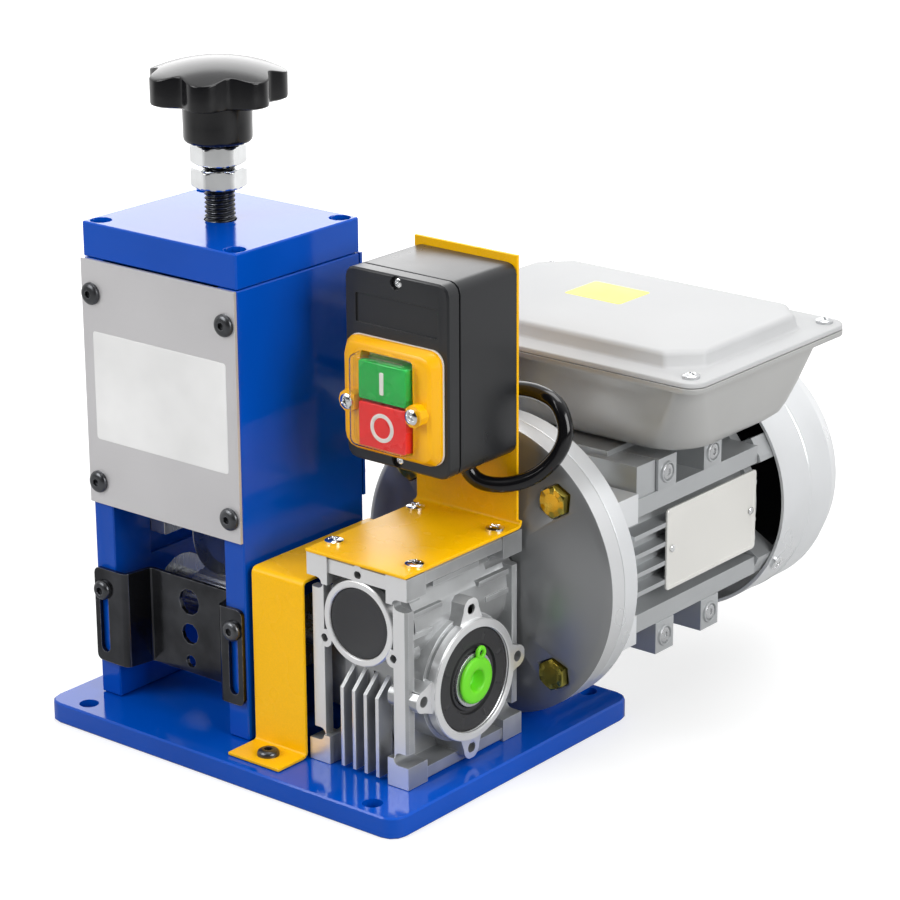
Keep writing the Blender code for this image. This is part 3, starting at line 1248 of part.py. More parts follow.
def make_worm_shaft(worm, steel):
    """The worm with its front journal and its hollow rear journal for the motor shaft."""
    shaft = make("worm_shaft", worm_thread(), steel, worm)
    root = WORM_PITCH_RADIUS - TOOTH_DEDENDUM - SEAT_GAP
    front_stop = -GEARBOX_FRONT + END_CAP_RECESS + END_CAP_THICKNESS + SEAT_GAP + WORM_FRONT_BEARING_WIDTH
    front_end = front_stop - WORM_FRONT_BEARING_WIDTH + SEAT_GAP
    journal = front_stop + 2 * SEAT_GAP
    rear_step = WORM_REAR_BEARING_FACE - 2 * SEAT_GAP - OVERRUN / 2
    fuse(shaft, shape(add_turned, [(0, WORM_REAR_END), (WORM_REAR_RADIUS, WORM_REAR_END),
                                   (WORM_REAR_RADIUS, rear_step), (root, rear_step), (root, journal),
                                   (WORM_FRONT_RADIUS, journal), (WORM_FRONT_RADIUS, front_end),
                                   (0, front_end)], "Y", steps=FINE_STEPS), "MANIFOLD")
    cut(shaft, shape(add_disc, WORM_BORE_RADIUS, WORM_BORE_BOTTOM, WORM_REAR_END + OVERRUN, "Y"))


def make_end_cap(gearbox, rubber):
    """The black cap in the worm's front bore."""
    low = -GEARBOX_FRONT + END_CAP_RECESS
    make("worm_end_cap", shape(add_disc, WORM_FRONT_BEARING_RADIUS, low, low + END_CAP_THICKNESS, "Y",
                               (0, WORM_HEIGHT), ROUND_STEPS), rubber, gearbox)


def bolt_places():
    """The four bolt places on the flange's circle, at 45 degrees."""
    places = []
    for index in range(4):
        angle = math.pi / 4 + math.pi / 2 * index
        places.append((BOLT_CIRCLE_RADIUS * math.cos(angle), BOLT_CIRCLE_RADIUS * math.sin(angle)))
    return places


def make_input_flange(motor, cast):
    """The dished flange between gearbox and motor, with hexagon pockets for the bolt heads."""
    joint = FLANGE_JOINT - SEAT_GAP
    pilot = joint - PILOT_DEPTH
    shell = FLANGE_SHELL_DEPTH
    profile = [(FLANGE_BORE_RADIUS, FLANGE_FRONT), (FLANGE_HUB_RADIUS, FLANGE_FRONT),
               (FLANGE_FACE_RADIUS, FLANGE_CONE_FRONT), (FLANGE_RADIUS - BASE_EDGE_ROUND, FLANGE_RIM_FRONT),
               (FLANGE_RADIUS, FLANGE_RIM_FRONT + BASE_EDGE_ROUND), (FLANGE_RADIUS, joint),
               (PILOT_RADIUS + SEAT_GAP, joint), (PILOT_RADIUS + SEAT_GAP, pilot),
               (PILOT_RADIUS - shell, pilot), (FLANGE_BORE_RADIUS, pilot - shell)]
    flange = make("input_flange", shape(add_turned, profile, "Y", steps=LARGE_STEPS), cast, motor)
    pockets = bmesh.new()
    for centre in bolt_places():
        add_prism(pockets, hexagon(BOLT_FLATS + 2 * BOLT_POCKET_MARGIN), FLANGE_FRONT, BOLT_POCKET_FLOOR,
                  "Y", centre)
    cut(flange, pockets)
    holes = bmesh.new()
    for centre in bolt_places():
        add_disc(holes, BOLT_RADIUS + SEAT_GAP, FLANGE_FRONT, joint + OVERRUN, "Y", centre, SMALL_STEPS)
    cut(flange, holes)


def make_flange_bolt(name, centre, motor, zinc):
    """A hexagon-head bolt through both flanges."""
    seat = BOLT_POCKET_FLOOR - SEAT_GAP
    crown = seat - BOLT_HEAD_HEIGHT
    bolt = make(name, shape(add_prism, hexagon(BOLT_FLATS), crown, seat, "Y", centre), zinc, motor)
    corner = BOLT_FLATS / math.sqrt(3) + BOLT_HEAD_CHAMFER
    keep_inside(bolt, shape(add_turned, [(0, seat + OVERRUN), (corner, seat + OVERRUN),
                                         (corner, crown + BOLT_HEAD_CHAMFER), (BOLT_FLATS / 2, crown),
                                         (0, crown)], "Y", centre, FINE_STEPS))
    tail = FLANGE_JOINT + FLANGE_THICKNESS + BOLT_TAIL
    fuse(bolt, shape(add_disc, BOLT_RADIUS, crown + BOLT_HEAD_CHAMFER, tail, "Y", centre, SMALL_STEPS))


def make_front_shield(motor, grey):
    """The motor's flanged front shield, with its pilot, bearing seat and clamp lugs."""
    joint = FLANGE_JOINT
    rear = joint + FLANGE_THICKNESS
    bearing = MOTOR_BEARING_RADIUS + SEAT_GAP
    boss = bearing + SHIELD_WALL / 2
    boss_rear = FRONT_BEARING_FACE + MOTOR_BEARING_WIDTH
    inner = FRAME_BORE_RADIUS
    profile = [(JOURNAL_RADIUS + 2 * RUN_GAP, joint - PILOT_DEPTH + SEAT_GAP),
               (PILOT_RADIUS, joint - PILOT_DEPTH + SEAT_GAP), (PILOT_RADIUS, joint),
               (FLANGE_RADIUS, joint), (FLANGE_RADIUS, rear), (SHIELD_RADIUS, rear + SHIELD_WALL / 4),
               (SHIELD_RADIUS - SHIELD_WALL / 4, SHIELD_REAR), (inner, SHIELD_REAR),
               (inner - SHIELD_WALL / 4, rear + SHIELD_WALL / 4), (boss, rear), (boss, boss_rear),
               (bearing, boss_rear), (bearing, FRONT_BEARING_FACE - SEAT_GAP),
               (JOURNAL_RADIUS + 2 * RUN_GAP, FRONT_BEARING_FACE - SEAT_GAP)]
    shield = make("front_shield", shape(add_turned, profile, "Y", steps=LARGE_STEPS), grey, motor)
    lugs = bmesh.new()
    for side_x in (-1, 1):
        for side_z in (-1, 1):
            low = (side_x * SHIELD_LUG_INNER, side_z * SHIELD_LUG_LOW)
            high = (side_x * SHIELD_LUG_OUTER, side_z * (SHIELD_LUG_LOW + SHIELD_LUG_HEIGHT))
            add_box(lugs, (min(low[0], high[0]), SHIELD_LUG_FRONT - OVERRUN, min(low[1], high[1])),
                    (max(low[0], high[0]), SHIELD_REAR, max(low[1], high[1])))
    fuse(shield, lugs)
    holes = bmesh.new()
    for centre in bolt_places():
        add_disc(holes, BOLT_RADIUS + SEAT_GAP, joint - OVERRUN, rear + BOLT_TAIL, "Y", centre, SMALL_STEPS)
    cut(shield, holes)


def make_motor_frame(motor, grey):
    """The finned motor frame: a tube with level side fins, upright top and bottom fins, foot
    pads at the corners and a saddle under the terminal box."""
    front = SHIELD_REAR + SEAT_GAP
    rear = FRAME_REAR
    frame = make("motor_frame", shape(add_disc, FRAME_RADIUS, front, rear, "Y", steps=LARGE_STEPS), grey, motor)
    level = bmesh.new()
    for index in range(SIDE_FIN_COUNT):
        middle = FIN_PITCH * (index - (SIDE_FIN_COUNT - 1) / 2)
        add_box(level, (-FIN_REACH, front, middle - FIN_THICKNESS / 2),
                (FIN_REACH, rear, middle + FIN_THICKNESS / 2))
    for side_z in (-1, 1):
        low, high = sorted((side_z * RAIL_LOW, side_z * (RAIL_LOW + RAIL_HEIGHT)))
        add_box(level, (-FIN_REACH, front, low), (FIN_REACH, rear, high))
    fuse(frame, level)
    upright = bmesh.new()
    for index in range(TOP_FIN_COUNT):
        middle = FIN_PITCH * (index - (TOP_FIN_COUNT - 1) / 2)
        add_box(upright, (middle - FIN_THICKNESS / 2, front, -FIN_REACH),
                (middle + FIN_THICKNESS / 2, rear, FRAME_RADIUS - OVERRUN / 4))
    fuse(frame, upright)
    pads = bmesh.new()
    for side_x in (-1, 1):
        for side_z in (-1, 1):
            for middle in (FOOT_PAD_FRONT_Y, FOOT_PAD_REAR_Y):
                near = side_x * FRAME_RADIUS / 2
                far = side_x * FOOT_PAD_REACH
                height = side_z * FOOT_PAD_CENTRE
                add_box(pads, (min(near, far), middle - FOOT_PAD_LENGTH / 2, height - FOOT_PAD_HEIGHT / 2),
                        (max(near, far), middle + FOOT_PAD_LENGTH / 2, height + FOOT_PAD_HEIGHT / 2))
    add_box(pads, (FRAME_RADIUS / 2, EARTH_PAD_Y - FOOT_PAD_LENGTH / 2, FOOT_PAD_CENTRE - FOOT_PAD_HEIGHT / 2),
            (FOOT_PAD_REACH - EARTH_PAD_SETBACK, EARTH_PAD_Y + FOOT_PAD_LENGTH / 2,
             FOOT_PAD_CENTRE + FOOT_PAD_HEIGHT / 2))
    fuse(frame, pads)
    fuse(frame, shape(add_box, (-SADDLE_HALF_WIDTH, front + SADDLE_INSET, 0),
                      (SADDLE_HALF_WIDTH, rear - SADDLE_INSET, SADDLE_TOP)))
    cut(frame, shape(add_disc, FRAME_BORE_RADIUS, front - OVERRUN, rear + OVERRUN, "Y", steps=LARGE_STEPS))
    holes = bmesh.new()
    for side_z in (-1, 1):
        for middle in (FOOT_PAD_FRONT_Y, FOOT_PAD_REAR_Y):
            for side_x in (-1, 1):
                deep = side_x * (FOOT_PAD_REACH - FOOT_PAD_HOLE_DEPTH)
                out = side_x * (FOOT_PAD_REACH + OVERRUN)
                add_disc(holes, FOOT_PAD_HOLE_RADIUS, min(deep, out), max(deep, out), "X",
                         (middle, side_z * FOOT_PAD_CENTRE), TINY_STEPS)
    cut(frame, holes)


def make_stator(motor, steel):
    """The laminated core with a winding head at each end."""
    outer = FRAME_BORE_RADIUS - SEAT_GAP
    front = STATOR_FRONT
    rear = STATOR_REAR
    profile = [(STATOR_BORE_RADIUS, rear), (WINDING_INNER_RADIUS, rear),
               (WINDING_INNER_RADIUS, rear + WINDING_LENGTH), (WINDING_OUTER_RADIUS, rear + WINDING_LENGTH),
               (WINDING_OUTER_RADIUS, rear), (outer, rear), (outer, front), (WINDING_OUTER_RADIUS, front),
               (WINDING_OUTER_RADIUS, front - WINDING_LENGTH), (WINDING_INNER_RADIUS, front - WINDING_LENGTH),
               (WINDING_INNER_RADIUS, front), (STATOR_BORE_RADIUS, front)]
    make("stator", shape(add_turned, profile, "Y", steps=ROUND_STEPS), steel, motor)


def make_rotor(motor, steel):
    """The rotor pack on its shaft, from the worm's bore to the fan."""
    fan_end = FAN_FRONT + FAN_HUB_LENGTH
    profile = [(0, fan_end), (MOTOR_SHAFT_RADIUS, fan_end), (MOTOR_SHAFT_RADIUS, ROTOR_REAR),
               (ROTOR_RADIUS, ROTOR_REAR), (ROTOR_RADIUS, ROTOR_FRONT), (JOURNAL_RADIUS, ROTOR_FRONT),
               (JOURNAL_RADIUS, FRONT_BEARING_FACE - OVERRUN), (MOTOR_SHAFT_RADIUS, FRONT_BEARING_FACE - OVERRUN),
               (MOTOR_SHAFT_RADIUS, MOTOR_SHAFT_FRONT), (0, MOTOR_SHAFT_FRONT)]
    make("motor_rotor", shape(add_turned, profile, "Y", steps=FINE_STEPS), steel, motor)


def make_rear_shield(motor, grey):
    """The rear shield: a spigot in the frame, a bearing boss and four lugs for the fan cover."""
    front = FRAME_REAR + SEAT_GAP
    rear = front + REAR_SHIELD_THICKNESS
    bearing = MOTOR_BEARING_RADIUS + SEAT_GAP
    boss_rear = REAR_BEARING_FACE + MOTOR_BEARING_WIDTH + SEAT_GAP
    spigot = FRAME_BORE_RADIUS - SEAT_GAP
    hole = MOTOR_SHAFT_RADIUS + 2 * RUN_GAP
    lip = boss_rear + REAR_SHIELD_THICKNESS / 3
    profile = [(bearing, front - REAR_SPIGOT_DEPTH), (spigot, front - REAR_SPIGOT_DEPTH), (spigot, front),
               (REAR_SHIELD_RADIUS, front), (REAR_SHIELD_RADIUS, rear), (REAR_BOSS_RADIUS, rear),
               (REAR_BOSS_RADIUS, lip), (hole, lip), (hole, boss_rear), (bearing, boss_rear)]
    shield = make("rear_shield", shape(add_turned, profile, "Y"), grey, motor)
    reach = FAN_COVER_RADIUS - FAN_COVER_WALL - SEAT_GAP
    lugs = bmesh.new()
    for angle in (REAR_LUG_ANGLE, math.pi - REAR_LUG_ANGLE, math.pi + REAR_LUG_ANGLE, -REAR_LUG_ANGLE):
        add_spoke_box(lugs, angle, (REAR_SHIELD_RADIUS - OVERRUN, reach + OVERRUN),
                      (front, front + REAR_LUG_LENGTH), REAR_LUG_WIDTH)
    fuse(shield, lugs)
    keep_inside(shield, shape(add_disc, reach, front - REAR_SPIGOT_DEPTH - OVERRUN,
                              front + REAR_LUG_LENGTH + OVERRUN, "Y", steps=LARGE_STEPS))


def make_fan(motor, plastic):
    """A radial fan: hub, back plate and straight blades."""
    plate_rear = FAN_FRONT + FAN_PLATE_THICKNESS
    fan = make("cooling_fan", shape(add_disc, FAN_RADIUS, FAN_FRONT, plate_rear, "Y"), plastic, motor)
    fuse(fan, shape(add_disc, FAN_HUB_RADIUS, FAN_FRONT - OVERRUN / 2, FAN_FRONT + FAN_HUB_LENGTH - OVERRUN, "Y"))
    blades = bmesh.new()
    for index in range(FAN_BLADES):
        add_spoke_box(blades, 2 * math.pi * index / FAN_BLADES,
                      (FAN_HUB_RADIUS - OVERRUN / 4, FAN_RADIUS - OVERRUN / 2),
                      (FAN_FRONT + FAN_PLATE_THICKNESS / 2, FAN_FRONT + FAN_BLADE_DEPTH), FAN_BLADE_THICKNESS)
    fuse(fan, blades)
    cut(fan, shape(add_disc, MOTOR_SHAFT_RADIUS + SEAT_GAP, FAN_FRONT - OVERRUN,
                   FAN_FRONT + FAN_HUB_LENGTH + OVERRUN, "Y"))


def make_fan_cover(motor, grey):
    """The pressed fan cover, open in front, with a holed back."""
    outer = FAN_COVER_RADIUS
    wall = FAN_COVER_WALL
    back = FAN_COVER_BACK_RADIUS
    side = [(outer, FAN_COVER_FRONT), (outer, FAN_COVER_SHOULDER),
            ((outer + back) / 2 + wall, (FAN_COVER_SHOULDER + FAN_COVER_REAR) / 2 + 2 * wall),
            (back, FAN_COVER_REAR)]
    inner = [(back - wall, FAN_COVER_REAR - wall),
             ((outer + back) / 2 - wall / 2, (FAN_COVER_SHOULDER + FAN_COVER_REAR) / 2 + wall),
             (outer - wall, FAN_COVER_SHOULDER - wall), (outer - wall, FAN_COVER_FRONT)]
    profile = [(0, FAN_COVER_REAR - wall)] + inner + side + [(0, FAN_COVER_REAR)]
    cover = make("fan_cover", shape(add_turned, profile, "Y", steps=LARGE_STEPS), grey, motor)
    vents = bmesh.new()
    for index in range(FAN_VENTS):
        add_spoke_box(vents, 2 * math.pi * index / FAN_VENTS, (FAN_VENT_INNER, FAN_VENT_OUTER),
                      (FAN_COVER_REAR - wall - OVERRUN, FAN_COVER_REAR + OVERRUN), FAN_VENT_WIDTH)
    cut(cover, vents)


def level_ring(half_x, half_y, radius, height):
    """A rounded rectangle lying level at a height."""
    outline = rounded_rectangle(2 * half_x, 2 * half_y, radius)
    return [(x, y, height) for x, y in outline]


def make_terminal_box(box, grey):
    """A bowl-shaped box with a screwed rim: lofted outside and in, open at the top."""
    x, y = BOX_HALF_LENGTH, BOX_HALF_DEPTH
    corner = BOX_CORNER_RADIUS
    wall = BOX_WALL
    rim_low = BOX_HEIGHT - BOX_RIM_THICKNESS
    outset = BOX_RIM_OUTSET
    outside = []
    inside = []
    for height_share, inset_share, corner_share in BOX_LEVEL_SHARES:
        height = BOX_HEIGHT * height_share
        inset = BOX_FLOOR_INSET * inset_share
        rounding = corner + (BOX_FLOOR_CORNER_RADIUS - corner) * corner_share
        outside.append((x - inset, y - inset, rounding, height))
        inside.append((x - inset - wall, y - inset - wall, rounding - wall, height + wall))
    rims = [(x, y, corner, rim_low), (x + outset, y + outset, corner, rim_low),
            (x + outset, y + outset, corner, BOX_HEIGHT), (x - wall, y - wall, corner - wall, BOX_HEIGHT)]
    levels = outside + rims + list(reversed(inside))
    shell = make("terminal_box", shape(add_loft, [level_ring(*level) for level in levels]), grey, box)
    bore = GLAND_RADIUS + SEAT_GAP
    cut(shell, shape(add_disc, bore, -BOX_HALF_DEPTH - OVERRUN, -BOX_HALF_DEPTH + BOX_FLOOR_INSET, "Y",
                     (GLAND_X, GLAND_HEIGHT), FINE_STEPS))
    screws = bmesh.new()
    for centre in lid_screw_places():
        add_disc(screws, LID_SCREW_HOLE_RADIUS, rim_low - OVERRUN, BOX_HEIGHT + OVERRUN, "Z", centre, TINY_STEPS)
    cut(shell, screws)


def lid_screw_places():
    """The four screws of the lid, near the rim's corners."""
    reach_x = BOX_HALF_LENGTH + BOX_RIM_OUTSET - LID_SCREW_INSET
    reach_y = BOX_HALF_DEPTH + BOX_RIM_OUTSET - LID_SCREW_INSET
    return [(side_x * reach_x, side_y * reach_y) for side_x in (-1, 1) for side_y in (-1, 1)]


def cut_corner_ring(half_x, half_y, corner, height):
    """A rectangle with straight-cut corners, at a height."""
    return [(half_x, -half_y + corner, height), (half_x, half_y - corner, height),
            (half_x - corner, half_y, height), (-half_x + corner, half_y, height),
            (-half_x, half_y - corner, height), (-half_x, -half_y + corner, height),
            (-half_x + corner, -half_y, height), (half_x - corner, -half_y, height)]


def make_terminal_lid(box, grey):
    """The pressed lid: a flat rim and a raised field with cut corners, hollow underneath."""
    x = BOX_HALF_LENGTH + BOX_RIM_OUTSET
    y = BOX_HALF_DEPTH + BOX_RIM_OUTSET
    low = BOX_HEIGHT + SEAT_GAP
    rim_top = low + LID_RIM_THICKNESS
    outline = rounded_rectangle(2 * x, 2 * y, LID_RIM_RADIUS)
    lid = make("terminal_box_lid", shape(add_prism, outline, low, rim_top), grey, box)
    field_x = x - LID_SHOULDER
    field_y = y - LID_SHOULDER
    cornered = LID_CORNER_CUT
    raised = bmesh.new()
    add_loft(raised, [cut_corner_ring(field_x, field_y, cornered, rim_top - LID_RIM_THICKNESS / 2),
                      cut_corner_ring(field_x - LID_RIM_THICKNESS / 2, field_y - LID_RIM_THICKNESS / 2,
                                      cornered, low + LID_RAISE),
                      cut_corner_ring(field_x - LID_RIM_THICKNESS, field_y - LID_RIM_THICKNESS, cornered,
                                      low + LID_RAISE + LID_RIM_THICKNESS / 2)])
    fuse(lid, raised)
    wall = BOX_WALL
    hollow = bmesh.new()
    add_loft(hollow, [cut_corner_ring(field_x - wall, field_y - wall, cornered, low - OVERRUN),
                      cut_corner_ring(field_x - wall - LID_RIM_THICKNESS / 2,
                                      field_y - wall - LID_RIM_THICKNESS / 2, cornered,
                                      low + LID_RAISE - wall / 2)])
    cut(lid, hollow)
    screws = bmesh.new()
    for centre in lid_screw_places():
        add_disc(screws, LID_SCREW_HOLE_RADIUS, low - OVERRUN, rim_top + OVERRUN, "Z", centre, TINY_STEPS)
    cut(lid, screws)


def make_capacitor(box, plastic):
    """The run capacitor, lying on the terminal box's floor."""
    height = BOX_WALL + SEAT_GAP + CAPACITOR_RADIUS
    make("capacitor", shape(add_turned, chamfered_bar(CAPACITOR_RADIUS, -CAPACITOR_LENGTH / 2,
                                                      CAPACITOR_LENGTH / 2, ROD_CHAMFER),
                            "X", (0, height), FINE_STEPS), plastic, box)


def make_box_gland(box, plastic):
    """The cable gland in the terminal box's front wall."""
    face = -BOX_HALF_DEPTH - SEAT_GAP
    bore = LEAD_RADIUS + SEAT_GAP
    inner_end = -BOX_HALF_DEPTH + BOX_FLOOR_INSET / 4
    profile = [(bore, inner_end), (GLAND_RADIUS, inner_end), (GLAND_RADIUS, face - GLAND_FLANGE),
               (GLAND_RADIUS, face - GLAND_LENGTH + BASE_EDGE_ROUND),
               (GLAND_RADIUS - BASE_EDGE_ROUND, face - GLAND_LENGTH), (bore, face - GLAND_LENGTH)]
    gland = make("lead_gland", shape(add_turned, profile, "Y", (GLAND_X, GLAND_HEIGHT), FINE_STEPS),
                 plastic, box)
    nut = shape(add_prism, hexagon(2 * GLAND_NUT_RADIUS), face - GLAND_FLANGE, face, "Y",
                (GLAND_X, GLAND_HEIGHT))
    fuse(gland, nut)
    cut(gland, shape(add_disc, bore, face - GLAND_LENGTH - OVERRUN, inner_end + OVERRUN, "Y",
                     (GLAND_X, GLAND_HEIGHT), FINE_STEPS))


def make_switch_bracket(top, yellow):
    """A bent sheet: a foot on the gearbox and an upright that carries the switch box."""
    left = min(-BRACKET_HALF_WIDTH, BRACKET_UPRIGHT_SHIFT - BRACKET_UPRIGHT_HALF_WIDTH)
    right = max(BRACKET_HALF_WIDTH, BRACKET_UPRIGHT_SHIFT + BRACKET_UPRIGHT_HALF_WIDTH)
    path = [(-BRACKET_FRONT, SEAT_GAP), (BRACKET_BACK, SEAT_GAP), (BRACKET_BACK, BRACKET_HEIGHT)]
    bracket = make("switch_bracket", shape(add_prism, bent_sheet(path, BRACKET_SHEET, BRACKET_BEND_RADIUS),
                                           left, right, "X"), yellow, top)
    zone = BRACKET_BACK - BRACKET_BEND_ZONE
    cut(bracket, shape(add_box, (left - OVERRUN, -BRACKET_FRONT - OVERRUN, -OVERRUN),
                       (-BRACKET_HALF_WIDTH, zone, BRACKET_SHEET + OVERRUN)))
    upright_right = BRACKET_UPRIGHT_SHIFT + BRACKET_UPRIGHT_HALF_WIDTH
    cut(bracket, shape(add_box, (upright_right, zone, BRACKET_BEND_ZONE),
                       (right + OVERRUN, BRACKET_BACK + OVERRUN, BRACKET_HEIGHT + OVERRUN)))
    holes = bmesh.new()
    for side_x in (-1, 1):
        for side_y in (-1, 1):
            add_disc(holes, BRACKET_HOLE_RADIUS, -OVERRUN, BRACKET_SHEET + OVERRUN, "Z",
                     (side_x * BRACKET_HOLE_X, side_y * BRACKET_HOLE_Y), TINY_STEPS)
    cut(bracket, holes)


def switch_outline(inset=0.0):
    """The switch box's rounded outline seen from the front, or the same drawn in by an inset."""
    return rounded_rectangle(SWITCH_WIDTH - 2 * inset, SWITCH_HEIGHT - 2 * inset,
                             SWITCH_CORNER_RADIUS - inset)


def make_switch_box(switch, charcoal):
    """The rear half of the switch box, open in front, with the lead's hole in its floor."""
    middle = (0, SWITCH_HEIGHT / 2)
    box = make("switch_box", shape(add_prism, switch_outline(), 0, SWITCH_BODY_DEPTH, "Y", middle),
               charcoal, switch)
    cut(box, shape(add_prism, switch_outline(SWITCH_WALL), -OVERRUN, SWITCH_BODY_DEPTH - SWITCH_WALL, "Y",
                   middle))
    cut(box, shape(add_disc, LEAD_RADIUS + SEAT_GAP, -OVERRUN, SWITCH_WALL + OVERRUN, "Z",
                   (LEAD_HOLE_X, LEAD_HOLE_Y), SMALL_STEPS))


def make_switch_cover(switch, charcoal):
    """The front cover, with the button window, two screw recesses and a bare name recess."""
    middle = (0, SWITCH_HEIGHT / 2)
    rear = -SEAT_GAP
    front = rear - SWITCH_COVER_DEPTH
    cover = make("switch_box_cover", shape(add_prism, switch_outline(), front, rear, "Y", middle),
                 charcoal, switch)
    soften(cover, BASE_EDGE_ROUND)
    cut(cover, shape(add_prism, switch_outline(SWITCH_WALL), front + SWITCH_WALL, rear + OVERRUN, "Y", middle))
    window = rounded_rectangle(WINDOW_WIDTH, WINDOW_HEIGHT, WINDOW_CORNER_RADIUS)
    cut(cover, shape(add_prism, window, front - OVERRUN, rear + OVERRUN, "Y", (0, BEZEL_Z)))
    recesses = bmesh.new()
    for height in (SWITCH_SCREW_INSET, SWITCH_HEIGHT - SWITCH_SCREW_INSET):
        add_disc(recesses, SWITCH_SCREW_RECESS_RADIUS, front - OVERRUN, front + SWITCH_SCREW_RECESS_DEPTH, "Y",
                 (0, height), SMALL_STEPS)
    name = rounded_rectangle(NAME_RECESS_WIDTH, NAME_RECESS_HEIGHT, NAME_RECESS_DEPTH)
    add_prism(recesses, name, front - OVERRUN, front + NAME_RECESS_DEPTH, "Y", (0, NAME_RECESS_Z))
    cut(cover, recesses)


def make_bezel(switch, yellow):
    """The raised yellow frame round the buttons, with an eared lug on each side."""
    rear = -2 * SEAT_GAP - SWITCH_COVER_DEPTH
    front = rear - BEZEL_DEPTH
    rings = []
    for taper, along in ((0, rear), (0, rear - BEZEL_DEPTH / 3), (BEZEL_TAPER / 2, front + BEZEL_DEPTH / 8),
                         (BEZEL_TAPER, front)):
        outline = rounded_rectangle(BEZEL_WIDTH - 2 * taper, BEZEL_HEIGHT - 2 * taper, BEZEL_CORNER_RADIUS)
        rings.append([(x, along, z + BEZEL_Z) for x, z in outline])
    bezel = make("switch_bezel", shape(add_loft, rings), yellow, switch)
    ears = bmesh.new()
    for side in (-1, 1):
        add_disc(ears, EAR_RADIUS, front - EAR_DEPTH, front + BEZEL_DEPTH / 2, "Y",
                 (side * EAR_X, BEZEL_Z + EAR_Z), SMALL_STEPS)
    fuse(bezel, ears)
    window = rounded_rectangle(WINDOW_WIDTH, WINDOW_HEIGHT, WINDOW_CORNER_RADIUS)
    cut(bezel, shape(add_prism, window, front - EAR_DEPTH - OVERRUN, rear + OVERRUN, "Y", (0, BEZEL_Z)))


def make_button(name, side, height, parent, colour):
    """A rectangular push button with a stem that reaches the contact block."""
    front = -BEZEL_DEPTH - BUTTON_PROUD
    outline = rounded_rectangle(BUTTON_WIDTH, height, BUTTON_CORNER_RADIUS)
    middle = (0, side * (BUTTON_SPLIT + height) / 2)
    button = make(name, shape(add_prism, outline, front, front + BUTTON_DEPTH, "Y", middle), colour, parent)
    stem_end = (SWITCH_COVER_DEPTH + 2 * SEAT_GAP + CONTACT_BLOCK_FRONT + CONTACT_HOLE_DEPTH
                - BUTTON_TRAVEL - 2 * SEAT_GAP)
    fuse(button, shape(add_disc, BUTTON_STEM_RADIUS, front + BUTTON_DEPTH / 2, stem_end, "Y", middle,
                       SMALL_STEPS))


def make_contact_block(switch, plastic):
    """The switch's contact block on the box's back wall, with a hole for each button's stem."""
    rear = SWITCH_BODY_DEPTH - SWITCH_WALL - SEAT_GAP
    middle = (0, BEZEL_Z)
    outline = rounded_rectangle(CONTACT_BLOCK_WIDTH, CONTACT_BLOCK_HEIGHT, BUTTON_CORNER_RADIUS, 1)
    block = make("contact_block", shape(add_prism, outline, CONTACT_BLOCK_FRONT, rear, "Y", middle),
                 plastic, switch)
    holes = bmesh.new()
    for side, height in ((1, GREEN_BUTTON_HEIGHT), (-1, RED_BUTTON_HEIGHT)):
        add_disc(holes, BUTTON_STEM_RADIUS + SEAT_GAP, CONTACT_BLOCK_FRONT - OVERRUN,
                 CONTACT_BLOCK_FRONT + CONTACT_HOLE_DEPTH, "Y",
                 (0, BEZEL_Z + side * (BUTTON_SPLIT + height) / 2), SMALL_STEPS)
    cut(block, holes)
    cut(block, shape(add_disc, LEAD_RADIUS + 2 * RUN_GAP, BEZEL_Z - CONTACT_BLOCK_HEIGHT, BEZEL_Z, "Z",
                     (LEAD_HOLE_X, LEAD_HOLE_Y), TINY_STEPS))


# Points on the lead's route from the worm's axis: out of the switch box's floor, round the
# bracket and back to the gland, chosen by hand in the gearbox's frame
LEAD_ROUTE = (
    (0.0095, 0.0240, 0.0700), (0.0095, 0.0240, 0.0600), (0.0105, 0.0245, 0.0515),
    (0.0160, 0.0270, 0.0450), (0.0250, 0.0330, 0.0430), (0.0350, 0.0400, 0.0470),
    (0.0425, 0.0450, 0.0575), (0.0455, 0.0480, 0.0705), (0.0400, 0.0500, 0.0820),
    (0.0280, 0.0510, 0.0870), (0.0140, 0.0520, 0.0860), (0.0020, 0.0550, 0.0820),
    (-0.0080, 0.0590, 0.0765), (-0.0170, 0.0650, 0.0725), (-0.0235, 0.0720, 0.0705),
    (-0.0260, 0.0790, 0.0699), (-0.0260, 0.0860, 0.0698), (-0.0260, 0.0960, 0.0698),
)
LEAD_POINTS_PER_SPAN = 2


def smooth_route(route, per_span):
    """Read evenly spread points from a smooth curve through the route's own points."""
    points = [Vector(point) for point in route]
    ends = [2 * points[0] - points[1]] + points + [2 * points[-1] - points[-2]]
    smooth = []
    for before, start, stop, after in zip(ends, ends[1:], ends[2:], ends[3:]):
        for step in range(per_span):
            t = step / per_span
            smooth.append(((2 * start) + (stop - before) * t
                           + (2 * before - 5 * start + 4 * stop - after) * t ** 2
                           + (3 * start - before - 3 * stop + after) * t ** 3) / 2)
    smooth.append(points[-1])
    return smooth


def make_switch_lead(worm, black):
    """The lead as a round tube along its route, held at both ends."""
    points = smooth_route(LEAD_ROUTE, LEAD_POINTS_PER_SPAN)
    curve = bpy.data.curves.new("switch_lead", "CURVE")
    curve.dimensions = "3D"
    curve.bevel_depth = LEAD_RADIUS
    curve.bevel_resolution = 1
    curve.use_fill_caps = True
    spline = curve.splines.new("POLY")
    spline.points.add(len(points) - 1)
    for target, point in zip(spline.points, points):
        target.co = (*point, 1.0)
    curve.materials.append(black)
    lead = bpy.data.objects.new("switch_lead", curve)
    lead.parent = worm
    bpy.context.collection.objects.link(lead)


